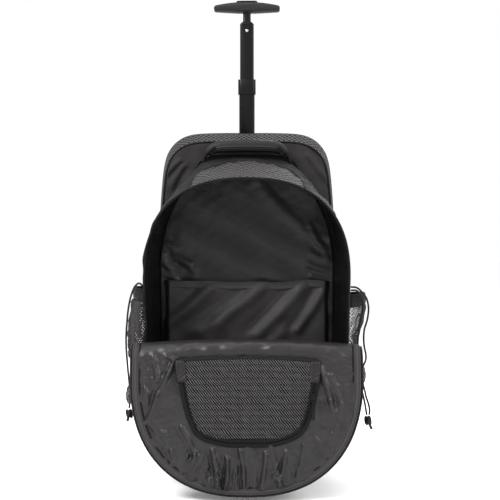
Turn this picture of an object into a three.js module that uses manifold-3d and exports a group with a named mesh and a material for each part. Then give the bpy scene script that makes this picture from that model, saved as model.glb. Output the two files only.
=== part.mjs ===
// A black wheeled backpack with its front flap unzipped and folded down.
// Millimetres, +Z up. The bag faces -Y and its back panel, straps and pole are towards +Y.
// The origin is the middle of the base, on the plane of the wheels and feet.
import * as THREE from "three";
import { mergeVertices } from "three/addons/utils/BufferGeometryUtils.js";
import Module from "manifold-3d";

const wasm = await Module();
wasm.setup();

// Thicknesses and clearances
const CLOTH = 3;
const LIGHT_CLOTH = 1.6;
const GAP = 0.3;
const SEAM = 1;

// Depths from the rim of the main compartment back to the pad that lies on the wearer
const RIM_Y = -110;
const MAIN_DEPTH = 142;
const LAPTOP_FRONT_DEPTH = 24;
const LAPTOP_REAR_DEPTH = 45;
const ZIPPER_WIDTH = 4;
const BACK_PAD = 14;
const WALL_Y = RIM_Y + MAIN_DEPTH;
const LAPTOP_Y = WALL_Y + CLOTH + SEAM;
const ZIP_Y = LAPTOP_Y + LAPTOP_FRONT_DEPTH;
const BACK_SEAM_Y = ZIP_Y + ZIPPER_WIDTH + LAPTOP_REAR_DEPTH;
const BACK_SURFACE_Y = BACK_SEAM_Y + GAP + BACK_PAD;

// Heights that several pieces share
const BAG_BOTTOM_Z = 22;
const LAPTOP_BOTTOM_Z = 70;
const SPRING_Z = 300;

// Arches seen from the front: shares of the half width and of the rise above the springing line,
// from the springing to the middle of the top
const SHOULDERED_ARCH = [
  { across: 1, up: 0 },
  { across: 0.974, up: 0.19 },
  { across: 0.908, up: 0.41 },
  { across: 0.776, up: 0.63 },
  { across: 0.62, up: 0.765 },
  { across: 0.575, up: 0.84 },
  { across: 0.535, up: 0.925 },
  { across: 0.44, up: 0.98 },
  { across: 0.2, up: 1 },
  { across: 0, up: 1 },
];
const SQUARE_ARCH = [
  { across: 1, up: 0 },
  { across: 0.96, up: 0.33 },
  { across: 0.935, up: 0.58 },
  { across: 0.905, up: 0.76 },
  { across: 0.85, up: 0.87 },
  { across: 0.74, up: 0.95 },
  { across: 0.58, up: 0.99 },
  { across: 0.3, up: 1 },
  { across: 0, up: 1 },
];
const ARCH_STEPS = 9;
const CORNER_STEPS = 3;
const SIDE_STEPS = 3;

// The bag's half width at its mouth; each outline behind it is set against the one before, and each
// is a little narrower at its bottom
const MOUTH_HALF_WIDTH = 165;
const MOUTH_TAPER = 6;
const REAR_NARROWING = 14;
const REAR_TAPER = 3;
const WALL_MARGIN = 1;
const ZIP_FLARE = 6;
const BACK_NARROWING = 2;
const LAPTOP_TAPER = 2;

// A half width and the one at the bottom
const tapered = (halfWidth, taper) => ({ halfWidth, bottomHalfWidth: halfWidth - taper });

const MAIN_FRONT = {
  ...tapered(MOUTH_HALF_WIDTH, MOUTH_TAPER),
  bottomZ: BAG_BOTTOM_Z, corner: 24, springZ: 277, topZ: 437, exponent: 2.42,
};
const MAIN_REAR = {
  ...tapered(MAIN_FRONT.halfWidth - REAR_NARROWING, REAR_TAPER),
  bottomZ: BAG_BOTTOM_Z, corner: 24, springZ: SPRING_Z, topZ: 483, arch: SHOULDERED_ARCH,
};
const WALL_OUTLINE = {
  ...MAIN_REAR, ...tapered(MAIN_REAR.halfWidth + WALL_MARGIN, REAR_TAPER), topZ: 508, arch: SQUARE_ARCH,
};
const LAPTOP_FRONT = { ...WALL_OUTLINE, bottomZ: LAPTOP_BOTTOM_Z, corner: 22 };
const LAPTOP_ZIP = {
  ...LAPTOP_FRONT, ...tapered(LAPTOP_FRONT.halfWidth + ZIP_FLARE, LAPTOP_TAPER), topZ: 526,
};
const LAPTOP_BACK = {
  ...LAPTOP_ZIP, ...tapered(LAPTOP_ZIP.halfWidth - BACK_NARROWING, LAPTOP_TAPER), topZ: 519,
};
const GUSSET_BULGE = 6;
const MAIN_ROWS = 3;
const RIM_TAPE_DEPTH = 4;
const PIPING_RADIUS = 1.8;
const LAPTOP_PIPING_RISE = 50;
const MAIN_PIPING_RISE = 10;
const BEZEL_HOLE_REACH = 20;

// The laptop compartment's zipper is undone over the top, where its rear edge stands back
const SLOT = { halfWidth: 96, endHalfWidth: 138, width: 20, lowZ: 440, highZ: 500 };

// Flap: it folds over at its hinge and hangs in front of the bag
const FLAP_HINGE_Z = 147;
const FLAP_HINGE_RISE = 14;
const FLAP_FOLD_RADIUS = 16;
const FLAP_SIDE_SAG = 9;
const FLAP_OVERHANG = 2;
const FLAP_SPRING_DROP = 34;
const FLAP_ARCH_HEIGHT = 178;
const FLAP_EXPONENT = 2.4;
const FLAP_THICKNESS = 6;
const FLAP_POCKET_BULGE = 12;
const FLAP_BELLY = 7;
const FLAP_COLUMNS = 16;
const FLAP_ARCH_ROWS = 11;
const FLAP_FOLD_ROWS = 4;
const FLAP_LAST_ANGLE = 82;
const BINDING_WIDTH = 17;
const BINDING_THICKNESS = 8;

// Creases of the flap's lining: ends as shares of its half width and its drop, and their width and
// height as shares of the two sizes below
const CREASE_WIDTH = 9;
const CREASE_HEIGHT = 3.5;
const FLAP_CREASES = [
  { x0: -0.78, d0: 0.1, x1: -0.62, d1: 0.42, width: 1, height: 1 },
  { x0: -0.62, d0: 0.42, x1: -0.86, d1: 0.66, width: 0.8, height: 1 },
  { x0: -0.52, d0: 0.6, x1: -0.4, d1: 0.95, width: 0.8, height: 0.9 },
  { x0: -0.26, d0: 0.66, x1: -0.2, d1: 0.97, width: 0.6, height: 0.9 },
  { x0: -0.02, d0: 0.68, x1: -0.04, d1: 0.98, width: 0.7, height: 1 },
  { x0: 0.2, d0: 0.68, x1: 0.1, d1: 0.97, width: 0.7, height: 0.9 },
  { x0: 0.42, d0: 0.6, x1: 0.28, d1: 0.95, width: 0.8, height: 0.9 },
  { x0: 0.68, d0: 0.18, x1: 0.84, d1: 0.56, width: 1, height: 1 },
];

// Net pocket on the flap's lining, with a zipper round its lower three sides
const NET_TOP_DROP = 8;
const NET_HALF_WIDTH = 96;
const NET_SPRING_DROP = 62;
const NET_HEIGHT = 66;
const NET_ZIP_WIDTH = 18;
const NET_BULGE = 6;
const NET_COLUMNS = 10;
const NET_ROWS = 7;
const NET_STAND_OFF = 5;
const ZIP_SLIDER = { x: 104, drop: 68, width: 8, height: 12, thickness: 5 };
const ZIP_PULL = { width: 5.5, length: 36, thickness: 2.2 };

// Pocket inside the main compartment, on its rear wall; its creases are shares like the flap's
const POCKET_TOP_Z = 268;
const POCKET_BOTTOM_Z = 44;
const POCKET_SIDE_MARGIN = 5;
const POCKET_DEPTH = 16;
const POCKET_ROWS = 8;
const POCKET_CREASE_WIDTH = 13;
const POCKET_CREASES = [
  { x0: -0.95, d0: 0.62, x1: -0.1, d1: 0.98, width: 1.1, height: 1 },
  { x0: -0.6, d0: 0.46, x1: 0.28, d1: 0.9, width: 1, height: 0.9 },
  { x0: 0.1, d0: 0.5, x1: 0.52, d1: 0.95, width: 1, height: 1 },
  { x0: 0.5, d0: 0.55, x1: 0.8, d1: 0.85, width: 0.8, height: 0.8 },
];

// Side pockets: a row for each section from the bottom to the rim, as shares of the pocket's height
// and of how far it stands out at most
const POCKET_FRONT_Y = RIM_Y + 18;
const POCKET_REAR_Y = WALL_Y - 12;
const SIDE_POCKET_HEIGHT = { right: 226, left: 236 };
const SIDE_POCKET_BULGE = 34;
const SIDE_HEM = 10;
const SIDE_HEM_CLOTH = 2.6;
const SIDE_NET_SPLIT = 4;
const SIDE_POCKET_ROWS = [
  { up: 0, right: 0.09, left: 0.09 },
  { up: 0.01, right: 0.62, left: 0.6 },
  { up: 0.16, right: 0.76, left: 0.7 },
  { up: 0.3, right: 0.74, left: 0.76 },
  { up: 0.42, right: 0.66, left: 0.82 },
  { up: 0.57, right: 0.57, left: 0.91 },
  { up: 0.67, right: 0.6, left: 0.94 },
  { up: 0.78, right: 0.83, left: 0.86 },
  { up: 0.9, right: 0.97, left: 0.72 },
  { up: 1, right: 0.82, left: 0.5 },
];
const SIDE_POCKET_COLUMNS = [0, 0.06, 0.22, 0.5, 0.78, 0.94, 1];

// Drawcords of the side pockets: each route's points are (x, y, z)
const CORD_DIAMETER = 3.2;
const CORD_SIDES = 8;
const CORD_STEP = 3;
const CORD_ROUTES = {
  drawcord_right_outer: [
    [169.4, -94.2, 262], [179.4, -92.8, 260.6], [189.2, -82, 252.4], [197, -70, 242.9], [201, -62, 231],
    [201.6, -59, 219.2], [199, -60, 204.4], [194.6, -63, 191.4], [193, -66, 176.8], [193.7, -70, 162.3],
    [195.7, -74, 151.1], [195.3, -77, 141.6], [191.4, -79, 132.4],
  ],
  drawcord_right_inner: [
    [169.4, -94.3, 256.6], [180.6, -93.6, 255], [189.6, -84, 240.2], [190.4, -81, 223.7], [187.2, -80, 207.3],
    [183.8, -80, 189.3], [181.8, -81, 169.7], [181.6, -81, 153.4], [183.8, -80.5, 141.5], [186, -80, 132.4],
  ],
  drawcord_right_tail_outer: [
    [190.6, -79, 103.1], [193.2, -79, 92.8], [195.8, -79, 81.4], [199.6, -79, 69.9], [201.4, -79, 60.5],
    [200.8, -79, 52.2],
  ],
  drawcord_right_tail_inner: [
    [186.4, -81, 103.5], [188.4, -82, 92.8], [191.2, -82, 81.4], [193.6, -81, 69.9], [195.2, -81, 60.5],
    [196.6, -81, 52.2],
  ],
  drawcord_left: [
    [-169, -94.6, 264], [-174.6, -92.8, 268], [-181.5, -86, 263.5], [-187.5, -78, 253], [-192.5, -70, 238],
    [-196, -65, 220], [-198, -63, 200], [-199.2, -63, 180], [-198.8, -65, 160], [-197, -68, 140],
    [-195, -73, 124], [-193, -78, 110], [-192, -80, 100.6],
  ],
  drawcord_left_tail: [
    [-191.7, -80, 69.8], [-191.9, -80, 66.5], [-192.1, -80, 63.3],
  ],
};
const CORD_PIECES = {
  cord_lock_right: { at: [189, -80, 118], size: [13, 11, 30] },
  cord_knot_right: { at: [198.6, -80, 43], size: [13, 11, 19] },
  cord_lock_left: { at: [-191.6, -80, 85.2], size: [13, 11, 30] },
  cord_knot_left: { at: [-192.2, -80, 54], size: [13, 11, 18] },
};

// Grab handle on top of the main compartment
const HANDLE_Y = 12;
const GRIP_TOP_Z = 511;
const GRIP_THICKNESS = 21;
const GRIP_DEPTH = 24;
const GRIP_HALF_SPAN = 60;
const GRIP_SIDES = 10;
const HANDLE_STRAP = { halfWidth: 12, thickness: 4, reach: 14 };

// Pole: an outer tube fixed in the bag, a middle tube with a lock collar, and an inner tube
const POLE_Y = BACK_SEAM_Y - 13;
const TUBE_WALL = 1.2;
const TUBE_CLEARANCE = 0.3;
const TUBE_CORNER = 4;
const NEXT_TUBE = 2 * (TUBE_WALL + TUBE_CLEARANCE);
const INNER_TUBE = { width: 24.6, depth: 13, topZ: 725, length: 315 };
const MIDDLE_TUBE = {
  width: INNER_TUBE.width + NEXT_TUBE, depth: INNER_TUBE.depth + NEXT_TUBE, topZ: 626, length: 350,
};
const OUTER_TUBE = {
  width: MIDDLE_TUBE.width + NEXT_TUBE, depth: MIDDLE_TUBE.depth + NEXT_TUBE, aboveBezel: 1,
};
const COLLAR_WALL = 1.6;
const COLLAR_HEIGHT = 25;
const BEZEL = { halfWidth: 25, wall: 2.4, height: 10 };

// T grip: its half length, the heights of its crown and underside, and ribs under the fingers
const T_HALF_LENGTH = 59;
const T_CROWN_RISE = 41.5;
const T_CROWN_Z = INNER_TUBE.topZ + T_CROWN_RISE;
const T_CROWN_DROP = 6.5;
const T_THICKNESS = 21;
const T_END_RISE = 3.5;
const T_MIDDLE_DEPTH = 29;
const T_END_DEPTH = 20;
const T_END_ROUND = 3;
const T_SIDES = 8;
const RIB_PITCH = 6.4;
const RIB_HEIGHT = 1;
const RIB_START_X = 13;
const NECK = { width: 14, depth: 11, flare: 6.5 };
const BUTTON = { halfLength: 17, halfDepth: 7, corner: 5, height: 9.5, proud: 5, travel: 3 };
const RIVET = { radius: 2.6, length: 3, belowGrip: 10 };

// Base tray, feet and wheels
const WHEEL_RADIUS = 32;
const WHEEL_WIDTH = 24;
const WHEEL_INSET = 21;
const WHEEL_PROUD = 16;
const WHEEL_SIDES = 18;
const WHEEL_CLEARANCE = 2.5;
const TYRE_THICKNESS = 7;
const AXLE_RADIUS = 4;
const TRAY_WALL = 3;
const TRAY = {
  halfWidth: LAPTOP_ZIP.bottomHalfWidth + 4, frontY: WALL_Y + CLOTH + GAP, rearY: BACK_SURFACE_Y - 1,
  bottomZ: 9, topZ: LAPTOP_BOTTOM_Z - CLOTH / 2 - GAP, corner: 16,
};
const WHEEL_X = TRAY.halfWidth - WHEEL_INSET;
const WHEEL_Y = TRAY.rearY - WHEEL_RADIUS + WHEEL_PROUD;
const FOOT = { halfLength: 30, depth: 22, corner: 6, insetX: 54, insetY: 32 };

// Shoulder straps: sections from the top anchor to the buckle, as shares of the back panel's half
// width, of how far the strap stands out, of the bag's height and of the strap's half width
const STRAP_STAND_OFF = 47;
const STRAP_HALF_WIDTH = 30;
const STRAP_THICKNESS = 11;
const STRAP_SECTIONS = [
  { x: 0.27, out: 0.067, z: 0.935, half: 0.9 },
  { x: 0.275, out: 0.29, z: 0.957, half: 0.93 },
  { x: 0.295, out: 0.6, z: 0.946, half: 0.97 },
  { x: 0.333, out: 0.85, z: 0.885, half: 1 },
  { x: 0.385, out: 1, z: 0.79, half: 1 },
  { x: 0.423, out: 0.99, z: 0.674, half: 0.97 },
  { x: 0.449, out: 0.91, z: 0.559, half: 0.9 },
  { x: 0.474, out: 0.7, z: 0.463, half: 0.8 },
  { x: 0.506, out: 0.51, z: 0.41, half: 0.63 },
];
const WEBBING_HALF_WIDTH = 12.5;
const WEBBING_THICKNESS = 2;
const WEBBING_SECTIONS = [
  { x: 0.51, out: 0.47, z: 0.3575, half: 1 },
  { x: 0.551, out: 0.38, z: 0.308, half: 1 },
  { x: 0.628, out: 0.2, z: 0.24, half: 1 },
  { x: 0.724, out: 0.03, z: 0.183, half: 1 },
  { x: 0.769, out: -0.08, z: 0.154, half: 1 },
];
const BUCKLE = { halfWidth: 17, height: 20, thickness: 7, bar: 4.5, x: 0.506, out: 0.49, z: 0.383 };

const bag = new THREE.Group();

const FINISH = {
  nylon: { color: 0x3a3839, roughness: 0.5, metalness: 0 },
  ripstop: { color: 0x343234, roughness: 0.65, metalness: 0 },
  lining: { color: 0x2e2b2b, roughness: 0.55, metalness: 0 },
  webbing: { color: 0x242324, roughness: 0.8, metalness: 0 },
  net: { color: 0x2a2829, roughness: 0.7, metalness: 0 },
  foam: { color: 0x262526, roughness: 0.9, metalness: 0 },
  plastic: { color: 0x202021, roughness: 0.45, metalness: 0 },
  rubberised: { color: 0x333334, roughness: 0.6, metalness: 0 },
  blackMetal: { color: 0x1a1a1b, roughness: 0.35, metalness: 0.8 },
  steel: { color: 0xc8c8c8, roughness: 0.25, metalness: 1 },
  tyre: { color: 0x161616, roughness: 0.85, metalness: 0 },
  cord: { color: 0x161616, roughness: 0.7, metalness: 0 },
};

function addPiece(name, geometry, finish) {
  const mesh = new THREE.Mesh(geometry, new THREE.MeshStandardMaterial(FINISH[finish]));
  mesh.name = name;
  bag.add(mesh);
}

// Solids: nets of points, joins and cuts

const { lerp, clamp, smoothstep, degToRad } = THREE.MathUtils;

function signedVolume(points, faces) {
  const cross = new THREE.Vector3();
  return faces.reduce((sum, [a, b, c]) => sum + points[a].dot(cross.crossVectors(points[b], points[c])), 0);
}

function geometryOf(points, faces) {
  const turned = signedVolume(points, faces) < 0 ? faces.map(([a, b, c]) => [a, c, b]) : faces;
  const geometry = new THREE.BufferGeometry();
  const numbers = points.flatMap((p) => [p.x, p.y, p.z]);
  geometry.setAttribute("position", new THREE.Float32BufferAttribute(numbers, 3));
  geometry.setIndex(turned.flat());
  return geometry;
}

// One closed solid between two nets of points with the same rows and columns
function between(front, back, looped = false) {
  const rows = front.length;
  const columns = front[0].length;
  const points = [...front.flat(), ...back.flat()];
  const at = (side, i, j) => side * rows * columns + i * columns + (j % columns);
  const faces = [];
  const quad = (a, b, c, d) => faces.push([a, b, c], [a, c, d]);
  const lastColumn = looped ? columns : columns - 1;
  for (let i = 0; i < rows - 1; i++)
    for (let j = 0; j < lastColumn; j++) {
      quad(at(0, i, j), at(0, i, j + 1), at(0, i + 1, j + 1), at(0, i + 1, j));
      quad(at(1, i, j), at(1, i + 1, j), at(1, i + 1, j + 1), at(1, i, j + 1));
    }
  for (let j = 0; j < lastColumn; j++) {
    quad(at(0, 0, j), at(1, 0, j), at(1, 0, j + 1), at(0, 0, j + 1));
    quad(at(0, rows - 1, j), at(0, rows - 1, j + 1), at(1, rows - 1, j + 1), at(1, rows - 1, j));
  }
  if (!looped)
    for (let i = 0; i < rows - 1; i++) {
      const j = columns - 1;
      quad(at(0, i, 0), at(0, i + 1, 0), at(1, i + 1, 0), at(1, i, 0));
      quad(at(0, i, j), at(1, i, j), at(1, i + 1, j), at(0, i + 1, j));
    }
  return geometryOf(points, faces);
}

// The normals of a net of points, from each point's neighbours
function normalsOf(net, looped) {
  const rows = net.length;
  const columns = net[0].length;
  const column = (j) => (looped ? (j + columns) % columns : clamp(j, 0, columns - 1));
  const row = (i) => clamp(i, 0, rows - 1);
  return net.map((line, i) =>
    line.map((_, j) => {
      const along = net[i][column(j + 1)].clone().sub(net[i][column(j - 1)]);
      const down = net[row(i + 1)][j].clone().sub(net[row(i - 1)][j]);
      return along.cross(down).normalize();
    }),
  );
}

// Cloth of one thickness with the net of points as its middle surface
function cloth(net, thickness, looped = false) {
  const normals = normalsOf(net, looped);
  const moved = (by) => net.map((line, i) =>
    line.map((p, j) => p.clone().addScaledVector(normals[i][j], by)));
  return between(moved(thickness / 2), moved(-thickness / 2), looped);
}

// A solid through rings of points, closed by a flat face at each end
function throughRings(rings) {
  const points = rings.flat();
  const sides = rings[0].length;
  const faces = [];
  for (let i = 0; i < rings.length - 1; i++)
    for (let j = 0; j < sides; j++) {
      const a = i * sides + j;
      const b = i * sides + ((j + 1) % sides);
      faces.push([a, b, b + sides], [a, b + sides, a + sides]);
    }
  const last = (rings.length - 1) * sides;
  for (let j = 1; j < sides - 1; j++) faces.push([0, j + 1, j], [last, last + j, last + j + 1]);
  return geometryOf(points, faces);
}

function solidOf(geometry) {
  const bare = geometry.index ? geometry.toNonIndexed() : geometry.clone();
  bare.deleteAttribute("normal");
  bare.deleteAttribute("uv");
  const merged = mergeVertices(bare, 1e-3);
  return new wasm.Manifold(new wasm.Mesh({
    numProp: 3,
    vertProperties: merged.attributes.position.array,
    triVerts: new Uint32Array(merged.index.array),
  }));
}

function geometryFrom(solid) {
  const mesh = solid.getMesh();
  const geometry = new THREE.BufferGeometry();
  geometry.setAttribute("position", new THREE.BufferAttribute(mesh.vertProperties, 3));
  geometry.setIndex(new THREE.BufferAttribute(mesh.triVerts, 1));
  return geometry;
}

const joined = (...geometries) => geometryFrom(geometries.map(solidOf).reduce((a, b) => a.add(b)));

function cut(from, ...tools) {
  return geometryFrom(tools.map(solidOf).reduce((a, b) => a.subtract(b), solidOf(from)));
}

function boxAt(x0, x1, y0, y1, z0, z1) {
  const block = new THREE.BoxGeometry(x1 - x0, y1 - y0, z1 - z0);
  return block.translate((x0 + x1) / 2, (y0 + y1) / 2, (z0 + z1) / 2);
}

// A rounded rectangle in the XY plane, and a block or a tube that rises from it
const CURVE_SEGMENTS = 2;

function roundedRectangle(width, depth, radius, Kind = THREE.Shape) {
  const [w, d, r] = [width / 2, depth / 2, radius];
  const shape = new Kind();
  shape.moveTo(-w + r, -d);
  shape.lineTo(w - r, -d);
  shape.absarc(w - r, -d + r, r, -Math.PI / 2, 0);
  shape.lineTo(w, d - r);
  shape.absarc(w - r, d - r, r, 0, Math.PI / 2);
  shape.lineTo(-w + r, d);
  shape.absarc(-w + r, d - r, r, Math.PI / 2, Math.PI);
  shape.lineTo(-w, -d + r);
  shape.absarc(-w + r, -d + r, r, Math.PI, Math.PI * 1.5);
  return shape;
}

function risingBlock(width, depth, radius, bottomZ, topZ, wall = 0) {
  const shape = roundedRectangle(width, depth, radius);
  if (wall)
    shape.holes.push(roundedRectangle(width - 2 * wall, depth - 2 * wall, radius - wall, THREE.Path));
  const extent = { depth: topZ - bottomZ, bevelEnabled: false, curveSegments: CURVE_SEGMENTS };
  return new THREE.ExtrudeGeometry(shape, extent).translate(0, 0, bottomZ);
}

// Sections of a block whose width and depth change with its height
function taperedBlock(sections) {
  return throughRings(sections.map(({ z, width, depth, radius }) => {
    const outline = roundedRectangle(width, depth, radius).getPoints(CURVE_SEGMENTS).slice(0, -1);
    return outline.map((p) => new THREE.Vector3(p.x, p.y, z));
  }));
}

// Outlines of the compartments

function archPoint(outline, share) {
  if (outline.arch) {
    const curve = new THREE.SplineCurve(outline.arch.map((row) => new THREE.Vector2(row.across, row.up)));
    return curve.getPoint(share).toArray();
  }
  const angle = (share * Math.PI) / 2;
  const power = 2 / outline.exponent;
  return [Math.cos(angle) ** power, Math.sin(angle) ** power];
}

// Half of an outline, from the middle of the bottom to the middle of the top, as [x, z]
function halfOutline(outline) {
  const { halfWidth, bottomHalfWidth, bottomZ, corner, springZ, topZ } = outline;
  const points = [[0, bottomZ], [(bottomHalfWidth - corner) / 2, bottomZ]];
  for (let k = 0; k <= CORNER_STEPS; k++) {
    const angle = (k / CORNER_STEPS) * (Math.PI / 2);
    points.push([
      bottomHalfWidth - corner + corner * Math.sin(angle),
      bottomZ + corner - corner * Math.cos(angle),
    ]);
  }
  for (let k = 1; k <= SIDE_STEPS; k++) {
    const share = k / SIDE_STEPS;
    points.push([lerp(bottomHalfWidth, halfWidth, share), lerp(bottomZ + corner, springZ, share)]);
  }
  for (let k = 1; k <= ARCH_STEPS; k++) {
    const [across, up] = archPoint(outline, k / ARCH_STEPS);
    points.push([k === ARCH_STEPS ? 0 : halfWidth * across, lerp(springZ, topZ, up)]);
  }
  return points;
}

// The whole outline, anticlockwise seen from the front
function loopOf(outline) {
  const half = halfOutline(outline);
  return [...half, ...half.slice(1, -1).reverse().map(([x, z]) => [-x, z])];
}

const inset = (outline, by) => ({
  ...outline, halfWidth: outline.halfWidth - by, bottomHalfWidth: outline.bottomHalfWidth - by,
  bottomZ: outline.bottomZ + by, topZ: outline.topZ - by, corner: outline.corner - by / 2,
});

// Half the width of an outline at a height below its arch
function halfWidthAt(outline, z) {
  const low = outline.bottomZ + outline.corner;
  const share = (Math.max(z, low) - low) / (outline.springZ - low);
  const drop = clamp((low - z) / outline.corner, 0, 1);
  const rounding = outline.corner * (1 - Math.sqrt(1 - drop * drop));
  return lerp(outline.bottomHalfWidth, outline.halfWidth, share) - rounding;
}

// Height of an outline's arch at a distance from its middle
function archHeightAt(outline, x) {
  const points = halfOutline(outline).slice(-ARCH_STEPS);
  const above = points.findIndex(([across]) => across <= x);
  const [[x0, z0], [x1, z1]] = [points[above - 1], points[above]];
  return lerp(z0, z1, (x - x0) / (x1 - x0));
}

// How far a band of cloth in a number of rows bulges outwards at a share of its depth, where its
// outline is at x and z
function bulgeAt(outline, share, rows, x, z) {
  if (z <= outline.bottomZ + outline.corner) return new THREE.Vector2();
  const row = Math.min(Math.floor(share * rows), rows - 1);
  const [before, after] = [row, row + 1].map((k) => Math.sin((Math.PI * k) / rows));
  const middleZ = (outline.bottomZ + outline.topZ) / 2;
  return new THREE.Vector2(x / outline.halfWidth, (z - middleZ) / (outline.topZ - middleZ))
    .setLength(GUSSET_BULGE * lerp(before, after, share * rows - row));
}

// A band of cloth between two outlines; it may bulge outwards half way
function gussetNet(front, rear, frontY, rearY, rows, bulges) {
  const [a, b] = [loopOf(front), loopOf(rear)];
  return Array.from({ length: rows + 1 }, (_, i) => {
    const share = i / rows;
    return a.map(([x, z], k) => {
      const [px, pz] = [lerp(x, b[k][0], share), lerp(z, b[k][1], share)];
      const swell = bulges ? bulgeAt(front, share, rows, px, pz) : new THREE.Vector2();
      return new THREE.Vector3(px + swell.x, lerp(frontY(px, pz), rearY, share), pz + swell.y);
    });
  });
}

// A panel of even thickness inside an outline
function flatPanel(outline, frontY, thickness) {
  const points = loopOf(outline).map(([x, z]) => new THREE.Vector2(x, z));
  return new THREE.ExtrudeGeometry(new THREE.Shape(points), { depth: thickness, bevelEnabled: false })
    .rotateX(Math.PI / 2)
    .translate(0, frontY + thickness, 0);
}

// A padded panel inside an outline: flat at frontY, with a crowned face towards +Y
const PAD_RINGS = [1, 0.9, 0.6, 0.3];
const PAD_EDGE = 0.45;

function paddedPanel(outline, frontY, thickness) {
  const loop = loopOf(outline);
  const centreZ = (outline.bottomZ + outline.topZ) / 2;
  const ringAt = (ring, y) => loop.map(([x, z]) => new THREE.Vector3(x * ring, y, lerp(centreZ, z, ring)));
  const crown = (ring) => frontY + thickness * (PAD_EDGE + (1 - PAD_EDGE) * Math.sqrt(1 - ring ** 6));
  return throughRings([ringAt(1, frontY), ...PAD_RINGS.map((ring) => ringAt(ring, crown(ring)))]);
}

// Height at a point of the highest of a set of creases, whose ends are in mm here
function creaseHeight(creases, across, along) {
  return Math.max(0, ...creases.map((row) => {
    const [dx, dd] = [row.x1 - row.x0, row.d1 - row.d0];
    const share = clamp(((across - row.x0) * dx + (along - row.d0) * dd) / (dx * dx + dd * dd), 0, 1);
    const away = Math.hypot(across - row.x0 - share * dx, along - row.d0 - share * dd);
    return row.height * Math.exp(-((away / row.width) ** 2));
  }));
}

const creasesIn = (rows, halfWidth, length, width) => rows.map((row) => ({
  x0: row.x0 * halfWidth, x1: row.x1 * halfWidth, d0: row.d0 * length, d1: row.d1 * length,
  width: row.width * width, height: row.height * CREASE_HEIGHT,
}));

// Main compartment: a deep band round its side, a wall behind and a low panel in front

const hemZ = FLAP_HINGE_Z + FLAP_HINGE_RISE + 8;

function mainCompartment() {
  const net = gussetNet(MAIN_FRONT, MAIN_REAR, () => RIM_Y, WALL_Y - SEAM, MAIN_ROWS, true);
  addPiece("main_gusset", cloth(net, CLOTH, true), "ripstop");
  addPiece("compartment_wall", flatPanel(WALL_OUTLINE, WALL_Y, CLOTH), "nylon");

  const low = halfOutline(MAIN_FRONT).filter(([, z]) => z < hemZ);
  const sideX = halfWidthAt(MAIN_FRONT, hemZ);
  const edge = [...low, [sideX, hemZ], [-sideX, hemZ], ...low.slice(1).reverse().map(([x, z]) => [-x, z])];
  const shape = new THREE.Shape(edge.map(([x, z]) => new THREE.Vector2(x, z)));
  const panel = new THREE.ExtrudeGeometry(shape, { depth: CLOTH, bevelEnabled: false });
  addPiece("main_lower_front", panel.rotateX(Math.PI / 2).translate(0, RIM_Y - GAP, 0), "ripstop");

  const rim = loopOf(MAIN_FRONT).filter(([, z]) => z > hemZ + CLOTH);
  const line = [[sideX, hemZ + GAP], ...rim, [-sideX, hemZ + GAP]];
  const tape = [RIM_Y - SEAM, RIM_Y - SEAM - RIM_TAPE_DEPTH].map((y) =>
    line.map(([x, z]) => new THREE.Vector3(x, y, z)));
  addPiece("main_rim_tape", cloth(tape, CLOTH), "webbing");
}

function interiorPocket() {
  const height = POCKET_TOP_Z - POCKET_BOTTOM_Z;
  const halfWidth = MAIN_REAR.bottomHalfWidth - POCKET_SIDE_MARGIN;
  const creases = creasesIn(POCKET_CREASES, halfWidth, height, POCKET_CREASE_WIDTH);
  const half = [0.15, 0.3, 0.45, 0.6, 0.75, 0.93, 0.985, 1];
  const columns = [...half.map((u) => -u).reverse(), 0, ...half];
  const net = Array.from({ length: POCKET_ROWS }, (_, i) => {
    const up = (i / (POCKET_ROWS - 1)) * height;
    return columns.map((u) => {
      const x = u * halfWidth;
      const forward = smoothstep(1 - Math.abs(u), 0, 0.07);
      const out = forward * (POCKET_DEPTH - creaseHeight(creases, x, up)) + LIGHT_CLOTH / 2 + GAP;
      return new THREE.Vector3(x, WALL_Y - out, POCKET_BOTTOM_Z + up);
    });
  });
  addPiece("interior_pocket", cloth(net, LIGHT_CLOTH), "lining");
}

// Laptop compartment, back panel and piping

function slotEdge(x, z) {
  const across = smoothstep(Math.abs(x), SLOT.halfWidth, SLOT.endHalfWidth);
  const high = smoothstep(z, SLOT.lowZ, SLOT.highZ);
  return ZIP_Y + ZIPPER_WIDTH + SEAM + SLOT.width * (1 - across) * high;
}

function laptopCompartment() {
  const front = gussetNet(LAPTOP_FRONT, LAPTOP_ZIP, () => LAPTOP_Y, ZIP_Y - SEAM, 2, false);
  addPiece("laptop_gusset_front", cloth(front, CLOTH, true), "ripstop");
  const tape = gussetNet(LAPTOP_ZIP, LAPTOP_ZIP, () => ZIP_Y, ZIP_Y + ZIPPER_WIDTH, 1, false);
  addPiece("laptop_zipper", cloth(tape, CLOTH - 2 * GAP, true), "webbing");
  const rear = gussetNet(LAPTOP_ZIP, LAPTOP_BACK, slotEdge, BACK_SEAM_Y, 2, false);
  const bezelHalfDepth = OUTER_TUBE.depth / 2 + BEZEL.wall + 2 * GAP;
  const bezelHole = boxAt(-BEZEL.halfWidth - GAP, BEZEL.halfWidth + GAP,
    POLE_Y - bezelHalfDepth, POLE_Y + bezelHalfDepth,
    LAPTOP_BACK.topZ - BEZEL_HOLE_REACH, LAPTOP_ZIP.topZ + BEZEL_HOLE_REACH);
  addPiece("laptop_gusset_rear", cut(cloth(rear, CLOTH, true), bezelHole), "ripstop");

  addPiece("back_panel", paddedPanel(inset(LAPTOP_BACK, 1), BACK_SEAM_Y + GAP, BACK_PAD), "foam");
}

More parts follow.
